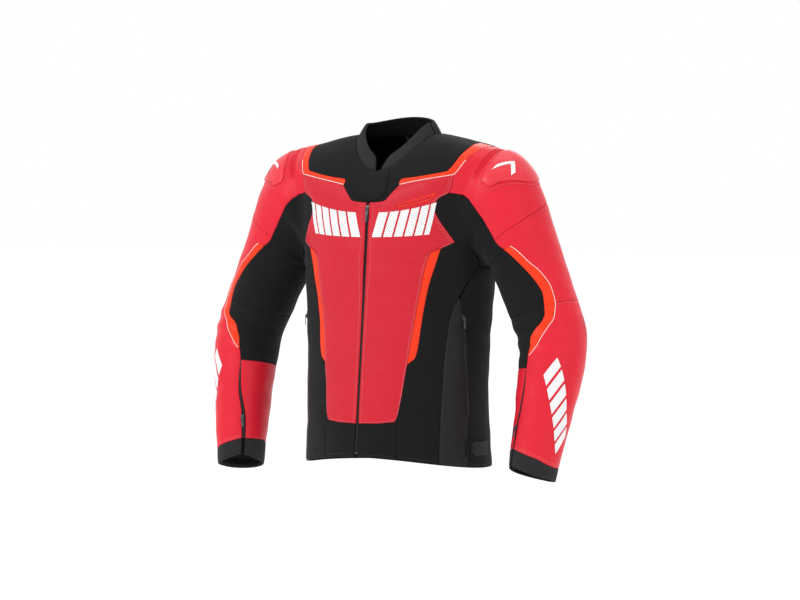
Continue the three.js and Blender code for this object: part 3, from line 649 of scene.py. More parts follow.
def tube_mesh(points, normals, radii, sides=8, squash=1.0):
    """A closed tube along a row of points, with a radius at each."""
    tangent = np.gradient(points, axis=0)
    tangent /= np.maximum(np.linalg.norm(tangent, axis=1, keepdims=True), 1e-9)
    across = np.cross(tangent, normals)
    across /= np.maximum(np.linalg.norm(across, axis=1, keepdims=True), 1e-9)
    up = np.cross(across, tangent)
    turn = np.linspace(0, 2 * math.pi, sides, endpoint=False)
    ring = (np.cos(turn)[None, :, None] * across[:, None]
            + squash * np.sin(turn)[None, :, None] * up[:, None])
    verts = points[:, None] + ring * np.asarray(radii)[:, None, None]
    n = len(points)
    index = np.arange(n * sides).reshape(n, sides)
    after = np.roll(index, -1, axis=1)
    quads = np.stack([index[:-1], after[:-1], after[1:], index[1:]], -1).reshape(-1, 4)
    faces = [list(q) for q in quads[:, ::-1]]
    faces += [list(index[0]), list(index[-1][::-1])]
    return verts.reshape(-1, 3), faces


def piping(name, line, material, radius=0.95, lift=0.35):
    """A cord of piping along a panel's edge."""
    points, normals = line
    run = lengths(points)
    share = np.linspace(0, 1, max(4, int(run[-1] / 3)))
    row = resample(points, run, share)
    out = resample(normals, run, share)
    verts, faces = tube_mesh(row + out * lift, out, np.full(len(row), radius), 8)
    return add(name, verts, faces, material)


STITCH = 3.1                # length of one stitch
STITCH_GAP = 1.2            # gap between two stitches
THREAD = 0.42               # half thickness of the thread
STITCH_SHAPE = ((0.0, -0.35, 0.6), (0.2, 0.18, 1.0), (0.8, 0.18, 1.0), (1.0, -0.35, 0.6))


def stitches(name, lines, material, thread=THREAD):
    """Rows of separate stitches along lines on a panel, as one piece."""
    sides = 5
    turn = np.linspace(0, 2 * math.pi, sides, endpoint=False)
    all_verts = []
    all_faces = []
    base = 0
    for points, normals in lines:
        run = lengths(points)
        count = int(run[-1] // (STITCH + STITCH_GAP))
        if count < 1:
            continue
        begin = (np.arange(count) + 0.5) * run[-1] / count - STITCH / 2
        rings = []
        for share, rise, size in STITCH_SHAPE:
            at = (begin + share * STITCH) / run[-1]
            middle = resample(points, run, at)
            out = resample(normals, run, at)
            ahead = resample(points, run, np.clip(at + 0.001, 0, 1))
            behind = resample(points, run, np.clip(at - 0.001, 0, 1))
            tangent = ahead - behind
            tangent /= np.maximum(np.linalg.norm(tangent, axis=1, keepdims=True), 1e-9)
            across = np.cross(tangent, out)
            centre = middle + out * rise
            ring = (centre[:, None] + size * thread * (
                np.cos(turn)[None, :, None] * across[:, None]
                + np.sin(turn)[None, :, None] * out[:, None]))
            rings.append(ring)
        block = np.stack(rings, 1)
        rows = len(STITCH_SHAPE)
        all_verts.append(block.reshape(-1, 3))
        index = np.arange(rows * sides).reshape(rows, sides)
        after = np.roll(index, -1, axis=1)
        quads = np.stack([index[:-1], index[1:], after[1:], after[:-1]], -1).reshape(-1, 4)
        shifts = base + np.arange(count) * rows * sides
        for shift in shifts:
            all_faces.extend((quads + shift).tolist())
            all_faces.append((index[0] + shift).tolist())
            all_faces.append((index[-1][::-1] + shift).tolist())
        base += count * rows * sides
    return add(name, np.vstack(all_verts), all_faces, material)


def block_mesh(size, bevel):
    """A box with chamfered edges, centred on the origin."""
    bm = bmesh.new()
    bmesh.ops.create_cube(bm, size=1.0)
    for v in bm.verts:
        v.co = Vector(v.co[k] * size[k] for k in range(3))
    bmesh.ops.bevel(bm, geom=bm.edges[:], offset=bevel, segments=1, affect="EDGES")
    verts = np.array([v.co for v in bm.verts])
    faces = [[v.index for v in f.verts] for f in bm.faces]
    bm.free()
    return verts, faces


def outline_mesh(outline, thickness, bevel):
    """A plate with an outline in X and Y and rounded edges, from 0 to thickness in Z."""
    bm = bmesh.new()
    ring = [bm.verts.new((x, y, 0)) for x, y in outline]
    face = bm.faces.new(ring)
    grown = bmesh.ops.extrude_face_region(bm, geom=[face])
    for v in grown["geom"]:
        if isinstance(v, bmesh.types.BMVert):
            v.co.z += thickness
    bmesh.ops.recalc_face_normals(bm, faces=bm.faces[:])
    level = [e for e in bm.edges if abs(e.verts[0].co.z - e.verts[1].co.z) < 1e-6]
    bmesh.ops.bevel(bm, geom=level, offset=bevel, segments=2, affect="EDGES", profile=0.6)
    verts = np.array([v.co for v in bm.verts])
    faces = [[v.index for v in f.verts] for f in bm.faces]
    bm.free()
    return verts, faces


def placed(mesh, at, across, up, out):
    """A mesh whose X, Y and Z axes are turned to three directions and moved to a point."""
    verts, faces = mesh
    turn = np.stack([across, up, out])
    return verts @ turn + at, faces


def rounded(points, radius, steps=5):
    """An outline with its corners rounded off."""
    p = np.asarray(points, float)
    out = []
    for i in range(len(p)):
        before = p[i - 1] - p[i]
        after = p[(i + 1) % len(p)] - p[i]
        cut = min(radius, 0.45 * np.linalg.norm(before), 0.45 * np.linalg.norm(after))
        a = p[i] + before / np.linalg.norm(before) * cut
        b = p[i] + after / np.linalg.norm(after) * cut
        for u in np.linspace(0, 1, steps):
            out.append((1 - u) ** 2 * a + 2 * u * (1 - u) * p[i] + u * u * b)
    return np.array(out)


# ---- seams of the body, as [angle, level] -------------------------------------------------


def front_angle(x, h):
    """The angle at which the body is x to the side of the centre front."""
    turn = np.linspace(0, 40, 400)
    return float(np.interp(x, body(turn, np.full(400, float(h)))[:, 0], turn))


def zip_edge(h):
    return (front_angle(ZIP_GAP, h), h)


def throat_edge(h):
    return (front_angle(0.35, h), h)


CHEST_LOW = -538
YOKE_LOW = -103.5
ARMPIT = (78, -232)
SHOULDER_T = 90
BACK_SEAM_T = 150
chest_corner = (25.7, -520)
accent_foot = (30, -420)
accent_heel = (34.5, -408)
accent_tip = (38.5, -202)
accent_top = (45, -197)
chest_tip = (55, -188)
saddle_front = (46.4, -117.5)
saddle_back = (134, -117.5)
yoke_bend = (17, -76)
accent_bend = (49, -97)
chest_bottom = edge([zip_edge(CHEST_LOW), (14, -536), (20, -533)],
                    [(20, -533), (24, -530.5), chest_corner])
chest_side = edge([chest_corner, (27.5, -485), (29, -445), accent_foot])
accent_inner = edge([accent_foot, (31, -385), (33, -320), (34.5, -275), (35.8, -232), accent_tip])
accent_outer = edge([accent_heel, (36, -385), (37.5, -320), (39.5, -268), (43, -222), accent_top])
lens_front = edge([chest_tip, (46.5, -166), (40, -146), (37.4, -130), (38.5, -121), (41, -117.6)])
YOKE_CORNER = (7.4, -102)
chest_top = edge([zip_edge(YOKE_LOW), YOKE_CORNER], [YOKE_CORNER, (11.2, -88.5), yoke_bend],
                 [yoke_bend, (28, -80.5), accent_bend])
yoke_edge = edge([(17.2, -72.5), (19, -69.5), (23, -69), (46, -87.5)],
                 [(46, -87.5), (60.5, -79.5), (77, -74.5)])
yoke_end = edge([(77, -74.5), (SHOULDER_T, -71.5), (100, -70.5)])
accent_low = edge([yoke_bend, (28, -80.5), accent_bend],
                  [accent_bend, (60, -88), (76, -84), (90, -83), (100, -83.5)])
saddle_top = edge([accent_bend, (60, -88), (76, -84), (90, -83), (100, -83.5), (120, -88),
                   (131, -97), saddle_back])
saddle_low = edge([saddle_front, accent_bend])
wedge_front = edge([(51, HEM), (51.5, -512), (53, -420), (55, -350), (57.5, -317), (61.5, -293)])
wedge_back = edge([(72, HEM), (71.8, -512), (69, -420), (67, -350), (65.5, -318), (63, -293)])
flank_top = edge([ARMPIT, (90, -237), (102, -230), (113.5, -205), (121.5, -178), (127, -152),
                  (131, -132), saddle_back])


def join(*rows):
    """Rows of points end to end."""
    return np.vstack([rows[0]] + [row[1:] if np.allclose(row[0], last[-1]) else row
                                  for last, row in zip(rows, rows[1:])])


def on_body(rows):
    return body(rows[:, 0], rows[:, 1])


def on_sleeve(rows):
    return sleeve(rows[:, 0], rows[:, 1])


ARC_T = np.linspace(0, 360, 721)
ARC = lengths(body(ARC_T, np.full(721, -300.0)))


def body_panel(low, high, left, right, cell=CELL):
    """A grid on the body, with distances round it and up it for its weave."""
    grid, where = patch(body, low, high, left, right, cell)
    round_it = np.interp(where[..., 0], ARC_T, ARC)
    return settle(grid), np.stack([round_it, where[..., 1]], -1)


def sleeve_panel(low, high, left, right, cell=CELL):
    """A grid on the left sleeve, with distances round it and down it for its weave."""
    grid, where = patch(sleeve, low, high, left, right, cell)
    return settle(grid), where * SLEEVE_WEAVE


def pair(name, made, material, rides="torso", slot=None, nodes=(), **options):
    """A panel on each side. Returns the two outer faces."""
    faces = {}
    grid, where = made
    for side, tag in SIDES:
        thing, face = panel(f"{name}_{tag}", grid, where, material, side, **options)
        body_name = rides + tag if rides.endswith("_") else rides
        attach(thing, body_name, [f"{node}_{tag}" for node in nodes])
        faces[tag] = face
    return faces


def sew(name, faces, rows, material, rides="torso"):
    """Stitches beside chosen sides of a pair of panels."""
    for side, tag in SIDES:
        lines = [faces[tag].line(where, step) for where, step in rows]
        thing = stitches(f"{name}_{tag}", lines, material)
        attach(thing, rides + tag if rides.endswith("_") else rides)


# ---- front of the body -----------------------------------------------------------------

chest_edge = join(chest_side, accent_inner, edge([accent_tip, accent_top, chest_tip]),
                  lens_front, saddle_low)
chest = body_panel(chest_bottom, chest_top, [zip_edge(CHEST_LOW), zip_edge(YOKE_LOW)],
                   chest_edge, 5.0)
faces = pair("chest_leather", chest, RED_PERFORATED, slot="red_leather", nodes=["chest_panel"])
sew("chest_stitches", faces, [("right", STITCH_LINE), ("right", SECOND_LINE),
                              ("low", STITCH_LINE), ("left", SECOND_LINE)],
    THREAD_PALE)
chest_faces = faces

accent = body_panel([accent_foot, accent_heel], [accent_tip, accent_top],
                    accent_inner, accent_outer, 4.0)
faces = pair("side_accent_leather", accent, ORANGE_LEATHER, slot="orange_leather",
             nodes=["side_accent"])

yoke_low = join(edge([throat_edge(YOKE_LOW), YOKE_CORNER], [YOKE_CORNER, (11.2, -88.5),
                                                            yoke_bend]),
                edge([yoke_bend, (17.2, -72.5)]), yoke_edge,
                edge([(77, -74.5), (SHOULDER_T, -71.5)]))
front_yoke = body_panel(yoke_low, [throat_edge(NECK), (SHOULDER_T, NECK)],
                        [throat_edge(YOKE_LOW), throat_edge(NECK)],
                        [(SHOULDER_T, -71.5), (SHOULDER_T, NECK)])
faces = pair("front_yoke_fabric", front_yoke, BLACK_STRETCH, slot="black_fabric",
             nodes=["front_yoke"])

yoke_accent = body_panel(accent_low, join(yoke_edge, yoke_end),
                         [yoke_bend, (17.2, -72.5)], [(100, -83.5), (100, -70.5)], 4.0)
faces = pair("yoke_accent_leather", yoke_accent, ORANGE_LEATHER, slot="orange_leather",
             nodes=["yoke_accent"], roll=1.1, puff=0.2)
for side, tag in SIDES:
    points, normals = faces[tag].line("low", 0)
    half = int(len(points) * 0.6)
    cord = piping(f"yoke_piping_{tag}", (points[:half], normals[:half]), PIPING, 0.65, 0.7)
    attach(cord, "torso")

front_hem = body_panel([zip_edge(HEM), (chest_corner[0], HEM)], chest_bottom,
                       [zip_edge(HEM), zip_edge(CHEST_LOW)],
                       [(chest_corner[0], HEM), chest_corner])
faces = pair("front_hem_fabric", front_hem, BLACK_STRETCH, slot="black_fabric",
             nodes=["front_hem"], thickness=STRETCH)
sew("front_hem_stitches", faces, [("low", SECOND_LINE)], THREAD_BLACK)

lower_left = join(edge([(chest_corner[0], HEM), chest_corner]), chest_side,
                  edge([accent_foot, accent_heel]), accent_outer, edge([accent_top, chest_tip]))
lower_front = body_panel([(chest_corner[0], HEM), (51, HEM)],
                         [chest_tip, (68, -203), ARMPIT], lower_left,
                         join(wedge_front, edge([(61.5, -293), (68, -262), ARMPIT])))
faces = pair("front_side_fabric", lower_front, BLACK_STRETCH, slot="black_fabric",
             nodes=["lower_front"], thickness=STRETCH)
sew("front_side_stitches", faces, [("low", SECOND_LINE)], THREAD_BLACK)

side_wedge = body_panel([(51, HEM), (72, HEM)], [(61.5, -293), (63, -293)],
                        wedge_front, wedge_back, 4.0)
faces = pair("side_leather", side_wedge, BLACK_LEATHER, slot="black_leather",
             nodes=["side_panel"])
sew("side_leather_stitches", faces, [("left", STITCH_LINE), ("low", SECOND_LINE)],
    THREAD_BLACK)

# ---- back of the body --------------------------------------------------------------------

WAIST_TOP = -300
WAIST_LOW = -352


def mirror_line(rows):
    """The other side's line, for a panel that runs across the centre back."""
    return (np.array([360.0, 0.0]) + rows * np.array([-1.0, 1.0]))[::-1]


def centre_panel(name, made, material, slot, nodes, **options):
    thing, face = panel(name, *made, material, **options)
    attach(thing, "torso", replaces=nodes)
    return face


yoke_half = join(edge([(SHOULDER_T, -71.5), (100, -70.5)]), edge([(100, -70.5), (100, -83.5)]),
                 edge([(100, -83.5), (120, -88), (131, -97), saddle_back]),
                 edge([saddle_back, (BACK_SEAM_T, -122), (180, -124)]))
back_yoke_low = join(yoke_half, mirror_line(yoke_half))
back_yoke = body_panel(back_yoke_low,
                       [(SHOULDER_T, NECK), (180, NECK), (270, NECK)],
                       [(SHOULDER_T, -71.5), (SHOULDER_T, NECK)],
                       [(270, -71.5), (270, NECK)])


def settle_both(grid):
    """Settles a grid that reaches both armholes."""
    once = settle(grid)
    return flip(settle(flip(once, RIGHT)), RIGHT)


back_yoke = (settle_both(back_yoke[0]), back_yoke[1])
face = centre_panel("back_yoke_fabric", back_yoke, BLACK_STRETCH, "black_fabric", ["back_yoke"])

back_top = edge([(150, -122), (180, -124), (210, -122)])
back_panel = body_panel([(150, WAIST_TOP), (180, WAIST_TOP), (210, WAIST_TOP)], back_top,
                        [(150, WAIST_TOP), (150, -122)],
                        [(210, WAIST_TOP), (210, -122)])
face = centre_panel("back_leather", back_panel, RED_PERFORATED, "red_leather", ["back_panel"])
thing = stitches("back_leather_stitches", [face.line(one) for one in ALL_EDGES], THREAD_PALE)
attach(thing, "torso")


def pleated(grid):
    """Adds the standing pleats of the stretch waist panel."""
    out = grid_normals(grid)
    level = (grid[..., 2] - WAIST_LOW) / (WAIST_TOP - WAIST_LOW)
    fade = np.clip(np.minimum(level, 1 - level) * 8, 0, 1)
    return grid + out * (2.0 * fade * np.abs(np.sin(level * math.pi * 5)))[..., None]


pleats = body_panel([(150, WAIST_LOW), (180, WAIST_LOW), (210, WAIST_LOW)],
                    [(150, WAIST_TOP), (180, WAIST_TOP), (210, WAIST_TOP)],
                    [(150, WAIST_LOW), (150, WAIST_TOP)],
                    [(210, WAIST_LOW), (210, WAIST_TOP)], 2.2)
pleats = (pleated(pleats[0]), pleats[1])
centre_panel("back_pleats", pleats, BLACK_RIB, "black_fabric", [])

lumbar = body_panel([(150, HEM), (180, HEM), (210, HEM)],
                    [(150, WAIST_LOW), (180, WAIST_LOW), (210, WAIST_LOW)],
                    [(150, HEM), (150, WAIST_LOW)], [(210, HEM), (210, WAIST_LOW)])
face = centre_panel("lumbar_leather", lumbar, BLACK_LEATHER, "black_leather", ["lumbar_panel"])
thing = stitches("lumbar_stitches", [face.line(one) for one in ("left", "right", "high")]
                 + [face.line("low", SECOND_LINE)], THREAD_BLACK)
attach(thing, "torso")

flank_high = join(edge([(63, -293), (69, -262), ARMPIT]), flank_top,
                  edge([saddle_back, (BACK_SEAM_T, -122)]))
flank = body_panel([(72, HEM), (BACK_SEAM_T, HEM)], flank_high, wedge_back,
                   [(BACK_SEAM_T, HEM), (BACK_SEAM_T, -122)])
faces = pair("flank_fabric", flank, BLACK_STRETCH, slot="black_fabric", nodes=["flank"],
             thickness=STRETCH)
sew("flank_stitches", faces, [("low", SECOND_LINE)], THREAD_BLACK)

# ---- shoulders and armholes -------------------------------------------------------------

BACK_PSI = -125
INNER_PSI = 235
UPPER_END = 4.15
TIP_POINTS = 1              # points left off where the rear armhole fabric runs to a tip
cap_front = join(on_body(edge([saddle_front, (51, -121), (58, -126)])),
                 on_sleeve(edge([(83, -0.16), (88, 0.28), (94, 0.76), (97, 1.28), (96.5, 1.6),
                                 (97, 1.76)])))
cap_back = even(join(on_body(edge([saddle_back, (130, -118)])),
                     on_sleeve(edge([(-88, 0.25), (-100, 0.6), (-112, 1.0), (BACK_PSI, 1.5)]))))
cap_seam = edge([(BACK_PSI, 1.5), (-100, 1.39), (-68, 1.34), (-38, 1.375), (-8, 1.485),
                 (24, 1.61), (49, 1.68), (80, 1.73), (97, 1.76)])
cap_end = on_sleeve(cap_seam)
cap_start = on_body(join(saddle_low, saddle_top)[::-1])
cap = loft(cap_start, cap_end, cap_back, cap_front)
faces = pair("shoulder_leather", cap, RED_SMOOTH, rides="shoulder", slot="red_leather",
             nodes=["shoulder_cap", "shoulder_saddle"])
sew("shoulder_stitches", faces, [("low", STITCH_LINE)], THREAD_RED, rides="shoulder")

arm_ring = edge([(90, 2.15), (120, 2.3), (150, 2.38), (180, 2.4), (210, 2.35), (INNER_PSI, 2.2)])
front_ring = edge([(90, 2.15), (120, 2.3), (150, 2.38), (180, 2.4)])
back_ring = edge([(180, 2.4), (210, 2.35), (INNER_PSI, 2.2)])
lens_high = join(on_body(edge([(41, -117.6), saddle_front])), cap_front,
                 on_sleeve(edge([(97, 1.76), (95, 1.95), (90, 2.15)])))
lens_low = join(on_body(edge([chest_tip, (68, -203), ARMPIT])),
                on_sleeve(edge([(180, 2.1), (180, 2.4)])))
lens = loft(lens_low, lens_high, on_body(lens_front), on_sleeve(front_ring)[::-1])
pair("armhole_fabric", lens, BLACK_STRETCH, rides="shoulder", slot="black_fabric",
     nodes=["armhole_stretch", "underarm"], thickness=STRETCH)

rear_arm = join(on_sleeve(back_ring), on_sleeve(edge([(INNER_PSI, 2.2), (INNER_PSI, 1.5)])),
                cap_back[::-1])[:-TIP_POINTS]
rear_body = on_body(flank_top)
rear = loft(np.vstack([on_sleeve(edge([(180, 2.4), (180, 2.1)])), rear_body[:1]]),
            np.vstack([rear_arm[-1:], rear_body[-1:]]), rear_arm, rear_body)
pair("armhole_rear_fabric", rear, BLACK_STRETCH, rides="shoulder", slot="black_fabric",
     thickness=STRETCH)

# ---- sleeves, as [psi, ring] --------------------------------------------------------------

flare_outer = edge([(78, 2.15), (70, 2.41), (61.5, 2.79), (50, 3.16), (42, 3.59), (41.5, 3.93),
                    (43, UPPER_END)])
flare_inner = edge([(90, 2.15), (84, 2.4), (74, 2.84), (66, 3.2), (60, 3.55), (58, 3.8),
                    (62, UPPER_END)])
flare_outer_low = edge([(43, UPPER_END), (47.5, 4.35), (54, 4.56), (69.5, 4.81), (85, 5.15),
                        (97, 5.53), (106.5, 5.75)])
flare_inner_low = edge([(62, UPPER_END), (66.5, 4.40), (75.5, 4.58), (92, 4.79), (104, 5.15),
                        (108, 5.58), (110, 5.75)])
upper = sleeve_panel(cap_seam, [(BACK_PSI, UPPER_END), (43, UPPER_END)],
                     [(BACK_PSI, 1.5), (BACK_PSI, UPPER_END)],
                     join(edge([(97, 1.76), (95, 1.95), (90, 2.15)]),
                          edge([(90, 2.15), (78, 2.15)]), flare_outer))
faces = pair("upper_arm_leather", upper, RED_SMOOTH, rides="shoulder", slot="red_leather",
             nodes=["sleeve_outer"])
sew("upper_arm_stitches", faces, [("low", STITCH_LINE), ("high", STITCH_LINE)], THREAD_RED,
    rides="shoulder")

flare = sleeve_panel([(78, 2.15), (90, 2.15)], [(43, UPPER_END), (62, UPPER_END)],
                     flare_outer, flare_inner, 4.0)
faces = pair("upper_arm_accent", flare, ORANGE_LEATHER, rides="shoulder", slot="orange_leather",
             nodes=["sleeve_accent"], roll=1.1)
for side, tag in SIDES:
    attach(piping(f"upper_arm_piping_{tag}", faces[tag].line("left", 0), PIPING, 0.65, 0.6),
           "shoulder")

inner_arm = sleeve_panel(arm_ring, [(62, UPPER_END), (INNER_PSI, UPPER_END)], flare_inner,
                         [(INNER_PSI, 2.2), (INNER_PSI, UPPER_END)])
pair("inner_arm_fabric", inner_arm, BLACK_STRETCH, rides="shoulder", slot="black_fabric",
     nodes=["sleeve_inner"], thickness=STRETCH)

# ---- forearms ------------------------------------------------------------------------------

FABRIC_END = 6.15
lower_flare = sleeve_panel([(43, UPPER_END), (62, UPPER_END)],
                           [(106.5, 5.75), (110, 5.75)], flare_outer_low, flare_inner_low,
                           4.0)
faces = pair("forearm_accent", lower_flare, ORANGE_LEATHER, rides="elbow", slot="orange_leather",
             roll=1.1)
for side, tag in SIDES:
    attach(piping(f"forearm_piping_{tag}", faces[tag].line("left", 0), PIPING, 0.65, 0.6),
           "elbow")

crook_edge = join(flare_inner_low, edge([(110, 5.75), (114, FABRIC_END)]))
crook = sleeve_panel([(62, UPPER_END), (INNER_PSI, UPPER_END)],
                     [(114, FABRIC_END), (INNER_PSI, FABRIC_END)], crook_edge,
                     [(INNER_PSI, UPPER_END), (INNER_PSI, FABRIC_END)], 4.5)
pair("elbow_crook_fabric", crook, BLACK_RIB, rides="elbow", slot="black_fabric",
     nodes=["elbow_gusset"], thickness=STRETCH)

CUFF_ZIP_OUT = edge([(114, FABRIC_END), (112.5, 6.9), (121, 7.5), (124.5, 8.2)])
CUFF_ZIP_IN = edge([(114, FABRIC_END), (117.5, 6.9), (129, 7.5), (133.5, 8.2)])
cuff_top = edge([(BACK_PSI, 8.16), (-60, 8.4), (-3, 8.55), (32, 8.52), (58, 8.42), (80, 8.36),
                 (124.5, 8.2)])
forearm = sleeve_panel([(BACK_PSI, UPPER_END), (43, UPPER_END)], cuff_top,
                       [(BACK_PSI, UPPER_END), (BACK_PSI, 8.16)],
                       join(flare_outer_low, edge([(106.5, 5.75), (110, 5.75)]),
                            edge([(110, 5.75), (114, FABRIC_END)]), CUFF_ZIP_OUT))
faces = pair("forearm_leather", forearm, RED_SMOOTH, rides="elbow", slot="red_leather",
             nodes=["forearm_outer"])
sew("forearm_stitches", faces, [("low", STITCH_LINE), ("high", STITCH_LINE),
                                ("high", SECOND_LINE)],
    THREAD_PALE, rides="elbow")

under = sleeve_panel([(114, FABRIC_END), (INNER_PSI, FABRIC_END)],
                     [(133.5, 8.2), (180, 8.16), (INNER_PSI, 8.16)], CUFF_ZIP_IN,
                     [(INNER_PSI, FABRIC_END), (INNER_PSI, 8.16)])
faces = pair("forearm_inner_leather", under, RED_SMOOTH, rides="forearm_", slot="red_leather",
             nodes=["forearm_inner"])
sew("forearm_inner_stitches", faces, [("high", STITCH_LINE), ("low", STITCH_LINE)], THREAD_RED,
    rides="forearm_")

cuff_start = edge([(-226.5, 8.2), (-180, 8.16), (BACK_PSI, 8.16)],
                  [(BACK_PSI, 8.16), (-60, 8.4), (-3, 8.55), (32, 8.52), (58, 8.42), (80, 8.36),
                   (124.5, 8.2)])
cuff = sleeve_panel(cuff_start, edge([(-226.5, 8.75), (-180, 8.85), (-60, 8.96), (0, 8.97),
                                      (60, 8.96), (124.5, 8.75)]),
                    [(-226.5, 8.2), (-226.5, 8.75)], [(124.5, 8.2), (124.5, 8.75)], 4.0)
faces = pair("cuff_band", cuff, NEOPRENE, rides="forearm_", slot="neoprene", nodes=["cuff"],
             thickness=2.4, puff=0.9)
sew("cuff_stitches", faces, [("high", SECOND_LINE)], THREAD_BLACK, rides="forearm_")

# ---- collar ---------------------------------------------------------------------------------

COLLAR_OPEN = 4
COLLAR_SPLIT = 84


def collar_panel(low, high, left, right, cell=FINE):
    grid, where = patch(collar, low, high, left, right, cell)
    return grid, where * COLLAR_WEAVE


collar_front = collar_panel(
    [(COLLAR_OPEN, 0.0), (COLLAR_SPLIT, 0.0)],
    [(20, 1.0), (COLLAR_SPLIT, 1.0)],
    [(COLLAR_OPEN, 0.0), (7, 0.45), (12, 0.85), (20, 1.0)],
    [(COLLAR_SPLIT, 0.0), (COLLAR_SPLIT, 1.0)])
faces = pair("collar_front_edge", collar_front, NEOPRENE, slot="neoprene", thickness=4.2,
             roll=2.0, puff=0.6, bumpy=0.35)
collar_back = collar_panel(
    [(COLLAR_SPLIT, 0.0), (180, 0.0), (360 - COLLAR_SPLIT, 0.0)],
    [(COLLAR_SPLIT, 1.0), (180, 1.0), (360 - COLLAR_SPLIT, 1.0)],
    [(COLLAR_SPLIT, 0.0), (COLLAR_SPLIT, 1.0)],
    [(360 - COLLAR_SPLIT, 0.0), (360 - COLLAR_SPLIT, 1.0)])
thing, face = panel("collar_back_band", *collar_back, BLACK_STRETCH, thickness=4.2, roll=2.0,
                    puff=0.6, bumpy=0.35)
attach(thing, "torso", replaces=["collar_band"])
thing = stitches("collar_stitches", [face.line("high", SECOND_LINE)], THREAD_BLACK)
attach(thing, "torso")

# Throat flap over the top of the front zip.
flap = body_panel([(-0.6, -100), (1.6, -100)], [(-15, -46), (15, -46)],
                  edge([(-0.6, -100), (-8.2, -81)], [(-8.2, -81), (-9.8, -72), (-11.8, -58),
                                                     (-15, -46)]),
                  edge([(1.6, -100), (6.2, -94), (8.6, -82), (10, -68), (12.5, -56),
                        (15, -46)]), FINE)
thing, face = panel("collar_tab_fabric", *flap, BLACK_STRETCH, thickness=2.0, lift=3.0,
                    puff=0.6, roll=1.3)
attach(thing, "collar_tab", replaces=["collar_tab"])

# ---- zips -----------------------------------------------------------------------------------

TOOTH_PITCH = 2.6


def frame_along(points, normals, pitch):
    """Even places along a line, with the directions across, along and out."""
    run = lengths(points)
    count = max(2, int(run[-1] / pitch))
    share = (np.arange(count) + 0.5) / count
    at = resample(points, run, share)
    out = resample(normals, run, share)
    out /= np.linalg.norm(out, axis=1, keepdims=True)
    ahead = np.gradient(at, axis=0)
    ahead /= np.linalg.norm(ahead, axis=1, keepdims=True)
    across = np.cross(ahead, out)
    return at, across, ahead, out


def teeth_mesh(points, normals, sink, size=(2.7, 1.25, 1.9), pitch=TOOTH_PITCH):
    """Closed zip teeth along a line: each reaches across from one tape, in turn."""
    at, across, ahead, out = frame_along(points, normals, pitch / 2)
    block = block_mesh(size, 0.3)
    parts = []
    for k in range(len(at)):
        aside = 0.75 if k % 2 else -0.75
        where = at[k] + across[k] * aside - out[k] * sink
        parts.append(placed(block, where, across[k], ahead[k], out[k]))
    return parts


def strip(points, normals, near, far, top, thick):
    """A flat tape beside a line, from near to far across it, its face top below it."""
    run = lengths(points)
    share = np.linspace(0, 1, max(2, int(run[-1] / 8)))
    at = resample(points, run, share)
    out = resample(normals, run, share)
    ahead = np.gradient(at, axis=0)
    ahead /= np.linalg.norm(ahead, axis=1, keepdims=True)
    across = np.cross(ahead, out)
    wide = np.linspace(near, far, 4)
    grid = at[:, None] + across[:, None] * wide[None, :, None] - out[:, None] * top
    floor = grid - out[:, None] * thick
    verts, faces = shell(grid, floor, *grid.shape[:2])
    return verts, faces.tolist()


def part(name, parts, material, rides, side=LEFT, tag="l", slot=None, nodes=(), sharp=40):
    verts, faces = merged(parts)
    uv = verts[:, [0, 2]]
    thing = add(name, verts, faces, material, uv, sharp)
    fix_winding(thing)
    return attach(thing, rides, nodes)


def fix_winding(thing):
    """Turns every closed part of a mesh face out."""
    bm = bmesh.new()
    bm.from_mesh(thing.data)
    bmesh.ops.recalc_face_normals(bm, faces=bm.faces[:])
    bm.to_mesh(thing.data)
    bm.free()


def zip_line(top, bottom, depth, count=120):
    """The line of the front zip between two heights."""
    z = np.linspace(top, bottom, count)
    y = ZIP_TOP_Y - ZIP_LEAN * (ZIP_TOP - z) + depth
    points = np.stack([np.zeros(count), y, z], -1)
    out = np.tile(np.array([0, -1.0, ZIP_LEAN]) / math.hypot(1, ZIP_LEAN), (count, 1))
    return points, out


def slider_parts(at, across, up, out, width=9.6, length=14.0):
    """A zip slider: a shaped plate with a bridge on the front."""
    half = width / 2
    outline = rounded([(-half, 0), (half, 0), (half * 0.72, -length * 0.55),
                       (half * 0.66, -length), (-half * 0.66, -length),
                       (-half * 0.72, -length * 0.55)], 2.2)
    plate = outline_mesh(outline, 1.1, 0.35)
    bridge = outline_mesh(rounded([(-1.3, -2.2), (1.3, -2.2), (1.3, -10.2), (-1.3, -10.2)], 1.2),
                          2.0, 0.5)
    return [placed(plate, at, across, up, out), placed(bridge, at + out * 1.0, across, up, out)]


def puller_parts(at, across, up, out, width=6.0, length=28.0, thick=1.3):
    """A zip puller: two rails round a slot, a ring end and a gripping pad."""
    half = width / 2
    rail = outline_mesh(rounded([(-half, 0), (-half + 1.5, 0), (-half + 1.5, -9), (-half, -9)],
                                0.5), thick, 0.3)
    other = outline_mesh(rounded([(half - 1.5, 0), (half, 0), (half, -9), (half - 1.5, -9)],
                                 0.5), thick, 0.3)
    head = outline_mesh(rounded([(-half, 1.4), (half, 1.4), (half, -0.4), (-half, -0.4)], 0.8),
                        thick, 0.3)
    pad = outline_mesh(rounded([(-half, -8.4), (half, -8.4), (half * 0.82, -length),
                                (-half * 0.82, -length)], 2.0), thick, 0.4)
    rib = outline_mesh(rounded([(-half * 0.6, -12), (half * 0.6, -12), (half * 0.5, -length + 3),
                                (-half * 0.5, -length + 3)], 1.4), 0.5, 0.2)
    flat = [placed(one, at, across, up, out) for one in (rail, other, head, pad)]
    return flat + [placed(rib, at + out * (thick - 0.1), across, up, out)]


